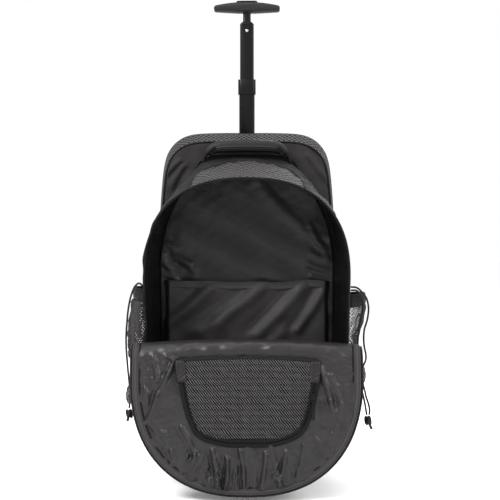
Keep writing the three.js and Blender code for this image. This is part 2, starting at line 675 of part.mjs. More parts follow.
// A round bead along an outline in the plane of y
function bead(outline, y, lowZ) {
  const points = loopOf(outline).filter(([, z]) => z > lowZ).map(([x, z]) => new THREE.Vector3(x, y, z));
  const sides = 5;
  return throughRings(points.map((p, i) => {
    const before = points[Math.max(0, i - 1)];
    const after = points[Math.min(points.length - 1, i + 1)];
    const along = after.clone().sub(before).normalize();
    const side = new THREE.Vector3(-along.z, 0, along.x);
    return Array.from({ length: sides }, (_, k) => {
      const angle = (k / sides) * 2 * Math.PI;
      const ring = p.clone().addScaledVector(side, PIPING_RADIUS * Math.cos(angle));
      ring.y += PIPING_RADIUS * Math.sin(angle);
      return ring;
    });
  }));
}

function piping() {
  const laptopSeam = inset(WALL_OUTLINE, -(PIPING_RADIUS + GAP));
  const laptopSeamLowZ = LAPTOP_BOTTOM_Z + LAPTOP_PIPING_RISE;
  addPiece("laptop_piping", bead(laptopSeam, WALL_Y + CLOTH / 2, laptopSeamLowZ), "webbing");
  const mainSeam = inset(MAIN_REAR, -(CLOTH / 2 + PIPING_RADIUS + SEAM));
  const mainSeamLowZ = SPRING_Z + MAIN_PIPING_RISE;
  addPiece("main_piping", bead(mainSeam, WALL_Y - PIPING_RADIUS - GAP, mainSeamLowZ), "webbing");
}

// Flap

const flapHalfWidth = MAIN_FRONT.halfWidth + FLAP_OVERHANG;
const flapFoldLength = Math.PI * FLAP_FOLD_RADIUS;
const flapFoldEnd = FLAP_HINGE_RISE + flapFoldLength;
const flapHingeY = RIM_Y - GAP - CLOTH - GAP - FLAP_THICKNESS / 2;
const flapDrop = FLAP_SPRING_DROP + FLAP_ARCH_HEIGHT;

// A point of the flap's middle surface at a distance from the hinge's lower edge, and its normal
// on the lining's side
function flapSection(distance) {
  const foldZ = FLAP_HINGE_Z + FLAP_HINGE_RISE;
  if (distance <= FLAP_HINGE_RISE) return { y: flapHingeY, z: FLAP_HINGE_Z + distance, ny: 1, nz: 0 };
  if (distance <= flapFoldEnd) {
    const angle = (distance - FLAP_HINGE_RISE) / FLAP_FOLD_RADIUS;
    const [ny, nz] = [Math.cos(angle), Math.sin(angle)];
    return { y: flapHingeY - FLAP_FOLD_RADIUS * (1 - ny), z: foldZ + FLAP_FOLD_RADIUS * nz, ny, nz };
  }
  const drop = distance - flapFoldEnd;
  const belly = FLAP_BELLY * Math.sin((Math.PI * drop) / (flapDrop + BINDING_WIDTH));
  return { y: flapHingeY - 2 * FLAP_FOLD_RADIUS - belly, z: foldZ - drop, ny: -1, nz: 0 };
}

// A point at x and at a distance along the flap; stand is how far it is off the middle surface,
// and the fold sags towards its sides
function flapPoint(x, distance, stand) {
  const { y, z, ny, nz } = flapSection(distance);
  const crest = Math.sin((Math.PI * clamp(distance - FLAP_HINGE_RISE, 0, flapFoldLength)) / flapFoldLength);
  const sag = FLAP_SIDE_SAG * crest * (x / flapHalfWidth) ** 2;
  return new THREE.Vector3(x, y + ny * stand, z + nz * stand - sag);
}

// Rows from a flap's straight top to the tip of its round end: distance and half width
function roundEnd(top, halfWidth, springDrop, height, rows) {
  return Array.from({ length: rows + 1 }, (_, k) => {
    const angle = degToRad((FLAP_LAST_ANGLE * k) / rows);
    return {
      distance: top + springDrop + height * Math.sin(angle) ** (2 / FLAP_EXPONENT),
      half: halfWidth * Math.cos(angle) ** (2 / FLAP_EXPONENT),
    };
  });
}

const flapEnd = (grow) =>
  roundEnd(flapFoldEnd, flapHalfWidth + grow, FLAP_SPRING_DROP, FLAP_ARCH_HEIGHT + grow, FLAP_ARCH_ROWS);

// Rows of the edge, from the crest of the fold to the tip
const flapEdge = (grow) => [
  ...[0.5, 0.75, 1].map((share) => (
    { distance: FLAP_HINGE_RISE + flapFoldLength * share, half: flapHalfWidth + grow })),
  ...flapEnd(grow),
];

function flapRows() {
  const hingeHalf = halfWidthAt(MAIN_FRONT, FLAP_HINGE_Z) - CLOTH;
  const rows = [{ distance: 0, half: hingeHalf }, { distance: FLAP_HINGE_RISE, half: hingeHalf }];
  for (let k = 1; k <= FLAP_FOLD_ROWS; k++)
    rows.push({
      distance: FLAP_HINGE_RISE + (flapFoldLength * k) / FLAP_FOLD_ROWS,
      half: lerp(hingeHalf, flapHalfWidth, Math.min(1, k / 2)),
    });
  return [...rows, ...flapEnd(0)];
}

// A band along both sides and the round end, between two sets of rows; profile gives for each
// share of the band's width how far its two faces stand
function edgeBand(outerRows, innerRows, profile) {
  const side = (sign) => outerRows.map((row, k) => [
    [sign * row.half, row.distance], [sign * innerRows[k].half, innerRows[k].distance]]);
  const edge = [...side(1), ...side(-1).reverse()];
  const face = (index) => profile.map(({ share, stand }) =>
    edge.map(([outer, inner]) =>
      flapPoint(lerp(inner[0], outer[0], share), lerp(inner[1], outer[1], share), stand[index])));
  return between(face(0), face(1));
}

function flap() {
  const creases = creasesIn(FLAP_CREASES, flapHalfWidth, flapDrop, CREASE_WIDTH);
  const face = (stand) => flapRows().map((row) =>
    Array.from({ length: FLAP_COLUMNS + 1 }, (_, j) => {
      const u = (2 * j) / FLAP_COLUMNS - 1;
      return flapPoint(u * row.half, row.distance, stand(u, row.half, row.distance));
    }));
  const lining = face((u, half, distance) => {
    const drop = distance - flapFoldEnd;
    return FLAP_THICKNESS / 2 + smoothstep(drop, 0, 12) * creaseHeight(creases, u * half, drop);
  });
  const outside = face((u, half, distance) => {
    const drop = clamp((distance - flapFoldEnd) / flapDrop, 0, 1);
    return -FLAP_THICKNESS / 2 - FLAP_POCKET_BULGE * Math.sin(Math.PI * drop) ** 0.6 * (1 - u ** 4);
  });
  addPiece("flap_panel", between(lining, outside), "nylon");

  const half = BINDING_THICKNESS / 2;
  const roll = [[0, 0.6], [0.5, 1], [1, 0.6]].map(([share, height]) =>
    ({ share, stand: [height * half, -height * half] }));
  addPiece("flap_binding", edgeBand(flapEdge(BINDING_WIDTH), flapEdge(GAP), roll), "webbing");
}

function netRows(grow) {
  const top = flapFoldEnd + NET_TOP_DROP;
  const half = NET_HALF_WIDTH + grow;
  return [
    { distance: top, half: half * 1.03 },
    { distance: top + NET_SPRING_DROP / 2, half: half * 1.01 },
    ...roundEnd(top, half, NET_SPRING_DROP, NET_HEIGHT + grow, NET_ROWS),
  ];
}

function flapNetPocket() {
  const stand = FLAP_THICKNESS / 2 + NET_STAND_OFF;
  const rows = netRows(0);
  const length = rows.at(-1).distance - rows[0].distance;
  const net = rows.map((row) => Array.from({ length: NET_COLUMNS + 1 }, (_, j) => {
    const u = (2 * j) / NET_COLUMNS - 1;
    const share = clamp((row.distance - rows[0].distance) / length, 0, 1);
    const swell = NET_BULGE * (1 - u ** 4) * Math.sin(Math.PI * share) ** 0.7;
    return flapPoint(u * row.half, row.distance, stand + swell);
  }));
  addPiece("flap_net", cloth(net, LIGHT_CLOTH), "net");

  const [inside, face] = [stand - 1.2, stand + 1.8];
  const tape = [[0, 0], [0.5, 1], [1, 0]].map(([share, rise]) => ({ share, stand: [face + rise, inside] }));
  addPiece("flap_net_zipper", edgeBand(netRows(NET_ZIP_WIDTH), netRows(2 * GAP), tape), "webbing");

  const { x, drop, width, height, thickness } = ZIP_SLIDER;
  const seat = flapPoint(x, flapFoldEnd + drop, face + 1 + 2 * GAP + thickness / 2);
  const slider = new THREE.BoxGeometry(width, thickness, height).translate(...seat);
  addPiece("flap_zip_slider", slider, "blackMetal");
  const pullY = seat.y - thickness / 2 - GAP - ZIP_PULL.thickness / 2;
  const pull = risingBlock(ZIP_PULL.width, ZIP_PULL.thickness, ZIP_PULL.thickness / 4, -ZIP_PULL.length, 0);
  addPiece("flap_zip_pull", pull.translate(x, pullY, seat.z), "blackMetal");
}

// Side pockets and their drawcords

function bodySideX(y, z) {
  const share = clamp((y - RIM_Y) / MAIN_DEPTH, 0, 1);
  const x = lerp(halfWidthAt(MAIN_FRONT, z), halfWidthAt(MAIN_REAR, z), share);
  return x + bulgeAt(MAIN_FRONT, share, MAIN_ROWS, x, z).x + CLOTH / 2;
}

function sidePocketNet(name, sign) {
  const bottomZ = BAG_BOTTOM_Z + 2;
  const cornerZ = BAG_BOTTOM_Z + MAIN_FRONT.corner * 0.7;
  return SIDE_POCKET_ROWS.map((row, i) => SIDE_POCKET_COLUMNS.map((v) => {
    const y = lerp(POCKET_FRONT_Y, POCKET_REAR_Y, v);
    const z = bottomZ + row.up * SIDE_POCKET_HEIGHT[name];
    const rise = Math.sin(Math.PI * v) ** 0.6;
    const wall = i < SIDE_POCKET_ROWS.length - 2 ? LIGHT_CLOTH : SIDE_HEM_CLOTH;
    const seamX = bodySideX(y, Math.max(z, cornerZ)) + wall / 2 + GAP;
    return new THREE.Vector3(sign * (seamX + row[name] * SIDE_POCKET_BULGE * rise), y, z);
  }));
}

function sidePocket(name, sign) {
  const net = sidePocketNet(name, sign);
  const raised = (line, by) => line.map((p) => p.clone().setZ(p.z + by));
  addPiece(`side_pocket_${name}`, cloth(net.slice(0, SIDE_NET_SPLIT), LIGHT_CLOTH), "ripstop");
  const upper = [raised(net[SIDE_NET_SPLIT - 1], SEAM), ...net.slice(SIDE_NET_SPLIT, -1)];
  addPiece(`side_net_${name}`, cloth(upper, LIGHT_CLOTH), "net");
  const [below, rim] = net.slice(-2);
  const casing = [raised(below, SEAM), rim, raised(rim, SIDE_HEM)];
  addPiece(`side_hem_${name}`, cloth(casing, SIDE_HEM_CLOTH), "webbing");
}

function cordTube(route) {
  const curve = new THREE.CatmullRomCurve3(route.map((p) => new THREE.Vector3(...p)));
  const corners = Array.from({ length: CORD_SIDES }, (_, k) => {
    const angle = (k / CORD_SIDES) * 2 * Math.PI;
    return new THREE.Vector2(Math.cos(angle), Math.sin(angle)).multiplyScalar(CORD_DIAMETER / 2);
  });
  const steps = Math.ceil(curve.getLength() / (CORD_STEP * CORD_DIAMETER));
  const extent = { steps, extrudePath: curve, bevelEnabled: false };
  return new THREE.ExtrudeGeometry(new THREE.Shape(corners), extent);
}

function drawcords() {
  for (const [name, route] of Object.entries(CORD_ROUTES)) addPiece(name, cordTube(route), "cord");
  for (const [name, { at, size }] of Object.entries(CORD_PIECES))
    addPiece(name, new THREE.SphereGeometry(0.5, 8, 6).scale(...size).translate(...at), "plastic");
}

// Grab handle: a padded grip on two straps that are sewn to the top of the main compartment

function gussetTopZ(x, y) {
  const share = (y - RIM_Y) / MAIN_DEPTH;
  const z = lerp(archHeightAt(MAIN_FRONT, x), archHeightAt(MAIN_REAR, x), share);
  return z + bulgeAt(MAIN_FRONT, share, MAIN_ROWS, x, z).y + CLOTH / 2;
}

function grabHandle() {
  const middleZ = GRIP_TOP_Z - GRIP_THICKNESS / 2;
  const grip = [-1, -0.86, -0.5, 0, 0.5, 0.86, 1].map((u) => {
    const shrink = 1 - 0.3 * u ** 6;
    return Array.from({ length: GRIP_SIDES }, (_, k) => {
      const angle = (k / GRIP_SIDES) * 2 * Math.PI;
      const y = HANDLE_Y + (GRIP_DEPTH / 2) * shrink * Math.cos(angle);
      const z = middleZ - GRIP_THICKNESS * 0.2 * u ** 4 + (GRIP_THICKNESS / 2) * shrink * Math.sin(angle);
      return new THREE.Vector3(u * GRIP_HALF_SPAN, y, z);
    });
  });
  addPiece("grab_grip", throughRings(grip), "foam");

  const { halfWidth, thickness, reach } = HANDLE_STRAP;
  const start = GRIP_HALF_SPAN + GAP + thickness / 4;
  const end = start + reach;
  const topZ = middleZ - GRIP_THICKNESS * 0.3;
  const rows = [
    { across: 0, down: 0 },
    { across: 0.35, down: 0.14 },
    { across: 0.8, down: 0.65 },
    { across: 1, down: 1 },
  ];
  for (const [name, sign] of [["left", -1], ["right", 1]]) {
    const net = rows.map(({ across, down }) => [-1, 1].map((side) => {
      const y = HANDLE_Y + side * halfWidth;
      const footZ = gussetTopZ(end - thickness, y) + SEAM + GAP;
      return new THREE.Vector3(sign * lerp(start, end, across), y, lerp(topZ, footZ, down));
    }));
    addPiece(`grab_strap_${name}`, cloth(net, thickness), "webbing");
  }
}

// Pole and T grip

function pole() {
  const tube = ({ width, depth }, bottomZ, topZ) =>
    risingBlock(width, depth, TUBE_CORNER, bottomZ, topZ, TUBE_WALL).translate(0, POLE_Y, 0);
  const bezelBottom = LAPTOP_BACK.topZ + GAP;
  const bezelTop = bezelBottom + BEZEL.height;
  const outerBottom = LAPTOP_BOTTOM_Z + CLOTH / 2 + GAP;
  addPiece("pole_outer", tube(OUTER_TUBE, outerBottom, bezelTop + OUTER_TUBE.aboveBezel), "blackMetal");
  const middleBottom = MIDDLE_TUBE.topZ - MIDDLE_TUBE.length;
  addPiece("pole_middle", tube(MIDDLE_TUBE, middleBottom, MIDDLE_TUBE.topZ), "blackMetal");
  const rivetZ = INNER_TUBE.topZ - RIVET.belowGrip;
  const inner = tube(INNER_TUBE, INNER_TUBE.topZ - INNER_TUBE.length, INNER_TUBE.topZ);
  const faceY = POLE_Y - INNER_TUBE.depth / 2;
  const pin = (radius, length) => new THREE.CylinderGeometry(radius, radius, length, 12);
  const bore = pin(RIVET.radius + GAP, 4 * TUBE_WALL).translate(0, faceY, rivetZ);
  addPiece("pole_inner", cut(inner, bore), "blackMetal");
  addPiece("rivet", pin(RIVET.radius, RIVET.length).translate(0, faceY + RIVET.length / 2, rivetZ), "steel");

  const ring = 2 * (COLLAR_WALL + GAP);
  const collarCorner = TUBE_CORNER + GAP + COLLAR_WALL;
  const collar = risingBlock(MIDDLE_TUBE.width + ring, MIDDLE_TUBE.depth + ring, collarCorner,
    MIDDLE_TUBE.topZ - COLLAR_HEIGHT, MIDDLE_TUBE.topZ + 1, COLLAR_WALL);
  addPiece("pole_collar", collar.translate(0, POLE_Y, 0), "plastic");

  const depth = OUTER_TUBE.depth + 2 * (GAP + BEZEL.wall);
  const bezel = risingBlock(2 * BEZEL.halfWidth, depth, TUBE_CORNER + BEZEL.wall, bezelBottom, bezelTop);
  const passage = risingBlock(OUTER_TUBE.width + 2 * GAP, OUTER_TUBE.depth + 2 * GAP, TUBE_CORNER,
    bezelBottom - 1, bezelTop + 1);
  addPiece("pole_bezel", cut(bezel, passage).translate(0, POLE_Y, 0), "plastic");
}

function tGrip() {
  const stations = [];
  const ribs = Math.floor((T_HALF_LENGTH - RIB_START_X - T_END_ROUND) / RIB_PITCH);
  for (let k = 0; k < ribs; k++) {
    const x = RIB_START_X + k * RIB_PITCH;
    stations.push({ x, rib: 0, pinch: 0 }, { x: x + RIB_PITCH / 2, rib: RIB_HEIGHT, pinch: 0 });
  }
  stations.push({ x: T_HALF_LENGTH - T_END_ROUND / 2, rib: 0, pinch: 0 });
  stations.push({ x: T_HALF_LENGTH, rib: 0, pinch: T_END_ROUND });
  const mirrored = stations.map((s) => ({ ...s, x: -s.x })).reverse();
  const both = [...mirrored, { x: 0, rib: 0, pinch: 0 }, ...stations];
  const underZ = T_CROWN_Z - T_THICKNESS;
  const rings = both.map(({ x, rib, pinch }) => {
    const share = Math.abs(x) / T_HALF_LENGTH;
    const top = T_CROWN_Z - T_CROWN_DROP * share ** 2 - pinch;
    const under = underZ + T_END_RISE * share - rib + pinch;
    const depth = lerp(T_MIDDLE_DEPTH, T_END_DEPTH, share ** 2) - 2 * pinch;
    const squarer = (v) => Math.sign(v) * Math.abs(v) ** 0.8;
    return Array.from({ length: T_SIDES }, (_, k) => {
      const angle = ((k + 0.5) / T_SIDES) * 2 * Math.PI;
      return new THREE.Vector3(x, (depth / 2) * squarer(Math.cos(angle)),
        (top + under) / 2 + ((top - under) / 2) * squarer(Math.sin(angle)));
    });
  });
  const flareTop = INNER_TUBE.topZ + NECK.flare;
  const neck = risingBlock(NECK.width, NECK.depth, TUBE_CORNER, flareTop - 1, underZ + T_THICKNESS / 3);
  const flare = taperedBlock([
    { z: INNER_TUBE.topZ + GAP, width: INNER_TUBE.width, depth: INNER_TUBE.depth, radius: TUBE_CORNER },
    { z: INNER_TUBE.topZ + 2, width: INNER_TUBE.width, depth: INNER_TUBE.depth, radius: TUBE_CORNER },
    { z: flareTop, width: NECK.width, depth: NECK.depth, radius: TUBE_CORNER },
  ]);
  const { halfLength, halfDepth, corner, height, proud, travel } = BUTTON;
  const buttonTop = T_CROWN_Z + proud;
  const buttonBottom = buttonTop - height;
  const seat = risingBlock(2 * (halfLength + GAP), 2 * (halfDepth + GAP), corner + GAP,
    buttonBottom - travel - GAP, buttonTop);
  const grip = cut(joined(throughRings(rings), neck, flare), seat);
  addPiece("t_grip", grip.translate(0, POLE_Y, 0), "rubberised");

  const edge = 1.6;
  const button = taperedBlock([
    { z: buttonBottom, width: 2 * halfLength, depth: 2 * halfDepth, radius: corner },
    { z: buttonTop - edge, width: 2 * halfLength, depth: 2 * halfDepth, radius: corner },
    { z: buttonTop, width: 2 * (halfLength - edge), depth: 2 * (halfDepth - edge), radius: corner - edge },
  ]);
  addPiece("push_button", button.translate(0, POLE_Y, 0), "plastic");
}

// Base tray, feet and wheels

function axial(radius, half, x, sides) {
  const cylinder = new THREE.CylinderGeometry(radius, radius, 2 * half, sides);
  return cylinder.rotateZ(Math.PI / 2).translate(x, WHEEL_Y, WHEEL_RADIUS);
}

const wheelWellHalf = WHEEL_WIDTH / 2 + WHEEL_CLEARANCE;

function baseTray() {
  const { halfWidth, frontY, rearY, bottomZ, topZ, corner } = TRAY;
  const [depth, middleY] = [rearY - frontY, (rearY + frontY) / 2];
  const block = risingBlock(2 * halfWidth, depth, corner, bottomZ, topZ);
  const hollow = risingBlock(2 * (halfWidth - TRAY_WALL), depth - 2 * TRAY_WALL, corner - TRAY_WALL,
    bottomZ + TRAY_WALL, topZ + 1);
  const outer = solidOf(block.translate(0, middleY, 0));
  let tray = outer.subtract(solidOf(hollow.translate(0, middleY, 0)));
  const wellRadius = WHEEL_RADIUS + WHEEL_CLEARANCE;
  for (const x of [-WHEEL_X, WHEEL_X]) {
    const housing = solidOf(axial(wellRadius + TRAY_WALL, wheelWellHalf + TRAY_WALL, x, WHEEL_SIDES));
    tray = tray.add(housing.intersect(outer));
  }
  for (const x of [-WHEEL_X, WHEEL_X])
    tray = tray.subtract(solidOf(axial(wellRadius, wheelWellHalf, x, WHEEL_SIDES)))
      .subtract(solidOf(axial(AXLE_RADIUS + GAP, wheelWellHalf + 2 * TRAY_WALL, x, WHEEL_SIDES)));
  addPiece("base_tray", geometryFrom(tray), "plastic");

  const footTop = BAG_BOTTOM_Z - CLOTH / 2 - GAP;
  for (const [name, sign] of [["left", -1], ["right", 1]]) {
    const foot = risingBlock(2 * FOOT.halfLength, FOOT.depth, FOOT.corner, 0, footTop);
    const x = sign * (MAIN_FRONT.bottomHalfWidth - FOOT.insetX);
    addPiece(`foot_${name}`, foot.translate(x, RIM_Y + FOOT.insetY, 0), "plastic");
  }
}

function lathed(profile, x) {
  const points = [...profile, profile[0]].map(([radius, along]) => new THREE.Vector2(radius, along));
  const ring = new THREE.LatheGeometry(points, WHEEL_SIDES);
  return ring.rotateZ(-Math.PI / 2).translate(x, WHEEL_Y, WHEEL_RADIUS);
}

function wheels() {
  const half = WHEEL_WIDTH / 2;
  const rimRadius = WHEEL_RADIUS - TYRE_THICKNESS;
  const bore = AXLE_RADIUS + GAP;
  const [web, boss, lip] = [half / 3, AXLE_RADIUS + 6, rimRadius - 3];
  for (const [name, sign] of [["left", -1], ["right", 1]]) {
    const x = sign * WHEEL_X;
    const tyre = [
      [rimRadius + GAP, -half], [WHEEL_RADIUS - 3, -half], [WHEEL_RADIUS, 5 - half],
      [WHEEL_RADIUS, half - 5], [WHEEL_RADIUS - 3, half], [rimRadius + GAP, half],
    ];
    addPiece(`tyre_${name}`, lathed(tyre, x), "tyre");
    const hub = [
      [bore, -half], [boss, -half], [boss, -web], [lip, -web], [rimRadius, 1 - half],
      [rimRadius, half - 1], [lip, web], [boss, web], [boss, half], [bore, half],
    ];
    addPiece(`hub_${name}`, lathed(hub, x), "plastic");
    addPiece(`axle_${name}`, axial(AXLE_RADIUS, wheelWellHalf + TRAY_WALL, x, WHEEL_SIDES), "steel");
  }
}

// Shoulder straps

const strapPlace = ({ x, out, z }, sign) => new THREE.Vector3(
  sign * x * LAPTOP_BACK.halfWidth, BACK_SURFACE_Y + out * STRAP_STAND_OFF, z * LAPTOP_BACK.topZ);

// A flat strap with bevelled edges through a table's sections
function strapThrough(sections, halfWidth, thickness, sign) {
  const centres = sections.map((row) => strapPlace(row, sign));
  return throughRings(centres.map((centre, i) => {
    const before = centres[Math.max(0, i - 1)];
    const after = centres[Math.min(centres.length - 1, i + 1)];
    const along = after.clone().sub(before).normalize();
    const across = new THREE.Vector3(1, 0, 0).addScaledVector(along, -along.x).normalize();
    const out = along.clone().cross(across).normalize();
    const half = sections[i].half * halfWidth;
    const edge = half - thickness / 2;
    return [[-half, 0], [-edge, -1], [edge, -1], [half, 0], [edge, 1], [-edge, 1]].map(([a, side]) =>
      centre.clone().addScaledVector(across, a).addScaledVector(out, (side * thickness) / 2));
  }));
}

function shoulderStraps() {
  for (const [name, sign] of [["left", -1], ["right", 1]]) {
    const pad = strapThrough(STRAP_SECTIONS, STRAP_HALF_WIDTH, STRAP_THICKNESS, sign);
    addPiece(`shoulder_strap_${name}`, pad, "foam");
    const webbing = strapThrough(WEBBING_SECTIONS, WEBBING_HALF_WIDTH, WEBBING_THICKNESS, sign);
    addPiece(`strap_webbing_${name}`, webbing, "webbing");
    const { halfWidth, height, thickness, bar } = BUCKLE;
    const frame = boxAt(-halfWidth, halfWidth, -thickness / 2, thickness / 2, -height / 2, height / 2);
    const slot = (z0, z1) => boxAt(-halfWidth + bar, halfWidth - bar, -thickness, thickness, z0, z1);
    const [rail, middle] = [bar / 2, bar / 3];
    const buckle = cut(frame, slot(-height / 2 + rail, -middle), slot(middle, height / 2 - rail));
    addPiece(`strap_buckle_${name}`, buckle.translate(...strapPlace(BUCKLE, sign)), "plastic");
  }
}

mainCompartment();
interiorPocket();
laptopCompartment();
piping();
flap();
flapNetPocket();
sidePocket("right", 1);
sidePocket("left", -1);
drawcords();
grabHandle();
pole();
tGrip();
baseTray();
wheels();
shoulderStraps();

export default bag;
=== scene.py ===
# A black wheeled backpack with its front flap unzipped and folded down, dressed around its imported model.
# Metres, +Z up. The bag faces -Y, and its back panel, straps and pole are towards +Y.
import math

import bmesh
import bpy
import numpy as np
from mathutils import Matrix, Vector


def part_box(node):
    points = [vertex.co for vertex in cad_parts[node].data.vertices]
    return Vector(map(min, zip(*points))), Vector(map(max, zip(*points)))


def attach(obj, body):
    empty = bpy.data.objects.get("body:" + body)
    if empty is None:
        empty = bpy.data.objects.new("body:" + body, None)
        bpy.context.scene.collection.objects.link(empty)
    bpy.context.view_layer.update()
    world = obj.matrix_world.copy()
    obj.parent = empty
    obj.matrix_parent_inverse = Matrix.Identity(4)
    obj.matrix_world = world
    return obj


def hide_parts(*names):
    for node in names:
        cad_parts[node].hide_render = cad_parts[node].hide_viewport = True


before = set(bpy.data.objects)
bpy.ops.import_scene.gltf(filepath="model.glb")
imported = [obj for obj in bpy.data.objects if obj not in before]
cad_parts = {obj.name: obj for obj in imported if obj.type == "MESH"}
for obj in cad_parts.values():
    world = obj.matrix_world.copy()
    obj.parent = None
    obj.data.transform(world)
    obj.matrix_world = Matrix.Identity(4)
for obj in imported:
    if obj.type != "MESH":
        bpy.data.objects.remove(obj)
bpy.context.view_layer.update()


# Camera, lights and floor: a long lens straight in front of the bag, a large soft box on each side and
# one above, and a plain pale floor under a white room.
EYE = (0.0055, -1.899, 0.322)
FLOOR_Z = -0.074
SOFT_BOXES = [
    {"at": (-1.3, -1.5, 1.9), "width": 0.9, "height": 0.9, "watts": 84},
    {"at": (1.5, -1.1, 1.2), "width": 0.5, "height": 1.1, "watts": 26},
    {"at": (0.1, -0.3, 2.3), "width": 1.2, "height": 0.9, "watts": 13},
    {"at": (0.5, 1.9, 1.5), "width": 1.2, "height": 1.1, "watts": 12},
]
AIM = (0, 0, 0.25)

bpy.ops.object.select_all(action="DESELECT")
bpy.ops.object.camera_add(location=EYE, rotation=(math.pi / 2, 0, 0))
camera = bpy.context.object
camera.data.lens = 80
bpy.context.scene.camera = camera
bpy.context.scene.view_settings.view_transform = "Standard"

for box in SOFT_BOXES:
    bpy.ops.object.light_add(type="AREA", location=box["at"])
    lamp = bpy.context.object
    lamp.data.shape = "RECTANGLE"
    lamp.data.size, lamp.data.size_y, lamp.data.energy = box["width"], box["height"], box["watts"]
    toward = lamp.location.copy()
    toward.x, toward.y, toward.z = [to - at for to, at in zip(AIM, box["at"])]
    lamp.rotation_euler = toward.to_track_quat("-Z", "Y").to_euler()


def linear(hex_color):
    """An sRGB hex colour as the linear red, green and blue that the shaders take."""
    shares = [int(hex_color[k:k + 2], 16) / 255 for k in (1, 3, 5)]
    return [s / 12.92 if s <= 0.04045 else ((s + 0.055) / 1.055) ** 2.4 for s in shares]


def surface(name, color, roughness, sockets=None):
    """A material; what is the same all over it is set on its shader's own sockets."""
    material = bpy.data.materials.new(name)
    material.use_nodes = True
    shader = material.node_tree.nodes["Principled BSDF"]
    shader.inputs["Base Color"].default_value = (*linear(color), 1)
    shader.inputs["Roughness"].default_value = roughness
    shader.inputs["Specular IOR Level"].default_value = 0.16
    for socket, value in (sockets or {}).items():
        shader.inputs[socket].default_value = value
    return material


def add(material, kind, settings=None, links=None):
    """Adds a node; settings are its properties, and links its inputs, as values or other nodes' outputs."""
    made = material.node_tree.nodes.new("ShaderNode" + kind)
    for name, value in (settings or {}).items():
        setattr(made, name, value)
    for name, value in (links or {}).items():
        if isinstance(value, bpy.types.NodeSocket):
            material.node_tree.links.new(value, made.inputs[name])
        else:
            made.inputs[name].default_value = value
    return made


def feed(material, socket, value):
    """Joins a node's output to a socket of the material's shader."""
    material.node_tree.links.new(value, material.node_tree.nodes["Principled BSDF"].inputs[socket])


world = bpy.data.worlds.new("white room")
world.use_nodes = True
world.node_tree.nodes["Background"].inputs["Color"].default_value = (1, 1, 1, 1)
world.node_tree.nodes["Background"].inputs["Strength"].default_value = 1.0
bpy.context.scene.world = world

bpy.ops.mesh.primitive_circle_add(vertices=64, radius=40, fill_type="NGON", location=(0, 0, FLOOR_Z))
floor = bpy.context.object
floor.name = "floor"
floor.data.materials.append(surface("painted floor", "#ffffff", 0.9))


# Drawcords of the two side pockets: braided polyester cord that leaves the front of a pocket's hem,
# runs through a round cord lock and is tied off below it. The right pocket shows two strands.
CORD_DIAMETER = 0.0032
RIGHT_OUTER_ROUTE = [
    (0.1694, -0.0942, 0.262), (0.1794, -0.0928, 0.2606), (0.1892, -0.082, 0.2524), (0.197, -0.07, 0.2429),
    (0.201, -0.062, 0.231), (0.2016, -0.059, 0.2192), (0.199, -0.06, 0.2044), (0.1946, -0.063, 0.1914),
    (0.193, -0.066, 0.1768), (0.1937, -0.07, 0.1623), (0.1957, -0.074, 0.1511), (0.1953, -0.077, 0.1416),
    (0.1914, -0.079, 0.1324), (0.1902, -0.0795, 0.1178), (0.1906, -0.079, 0.1031), (0.1932, -0.079, 0.0928),
    (0.1958, -0.079, 0.0814), (0.1996, -0.079, 0.0699), (0.2014, -0.079, 0.0605), (0.2008, -0.079, 0.0522),
]
RIGHT_INNER_ROUTE = [
    (0.1694, -0.0943, 0.2566), (0.1806, -0.0936, 0.255), (0.1896, -0.084, 0.2402), (0.1904, -0.081, 0.2237),
    (0.1872, -0.08, 0.2073), (0.1838, -0.08, 0.1893), (0.1818, -0.081, 0.1697), (0.1816, -0.081, 0.1534),
    (0.1838, -0.0805, 0.1415), (0.186, -0.08, 0.1324), (0.1868, -0.0803, 0.1178), (0.1864, -0.081, 0.1035),
    (0.1884, -0.082, 0.0928), (0.1912, -0.082, 0.0814), (0.1936, -0.081, 0.0699), (0.1952, -0.081, 0.0605),
    (0.1966, -0.081, 0.0522),
]
LEFT_ROUTE = [
    (-0.169, -0.0946, 0.264), (-0.1746, -0.0928, 0.268), (-0.1815, -0.086, 0.2635), (-0.1875, -0.078, 0.253),
    (-0.1925, -0.07, 0.238), (-0.196, -0.065, 0.22), (-0.198, -0.063, 0.2), (-0.1992, -0.063, 0.18),
    (-0.1988, -0.065, 0.16), (-0.197, -0.068, 0.14), (-0.195, -0.073, 0.124), (-0.193, -0.078, 0.11),
    (-0.192, -0.08, 0.1006), (-0.1916, -0.08, 0.0852), (-0.1917, -0.08, 0.0698), (-0.1919, -0.08, 0.0665),
    (-0.1921, -0.08, 0.0633),
]
FORWARD = np.array((0.0, -1.0, 0.0))


def run_along(path):
    """The distance along a path at each of its points."""
    return np.concatenate([[0], np.cumsum(np.linalg.norm(np.diff(path, axis=0), axis=1))])


def evenly(path, count):
    """A path's points at even distances along it."""
    run = run_along(path)
    at = np.linspace(0, run[-1], count)
    return np.stack([np.interp(at, run, path[:, k]) for k in range(path.shape[1])], axis=1)


def curve_between(a, b, c, d, t):
    """Points from b to c, at shares t, on the smooth curve through four points."""
    return 0.5 * (2 * b + (c - a) * t + (2 * a - 5 * b + 4 * c - d) * t**2 + (3 * b - a - 3 * c + d) * t**3)


def smooth_path(points, count):
    """Evenly spaced points on a smooth curve through the given ones."""
    p = np.asarray(points, float)
    p = np.vstack([2 * p[0] - p[1], p, 2 * p[-1] - p[-2]])
    t = np.linspace(0, 1, 12, endpoint=False)[:, None]
    runs = [curve_between(*four, t) for four in zip(p[:-3], p[1:-2], p[2:-1], p[3:])]
    return evenly(np.vstack([*runs, p[-2:-1]]), count)


def directions(path):
    """Unit vectors along a path, at each of its points."""
    along = np.gradient(path, axis=0)
    return along / np.linalg.norm(along, axis=1)[:, None]


def named(name):
    """The primitive that was just added, under its own name."""
    piece = bpy.context.object
    piece.name = piece.data.name = name
    return piece


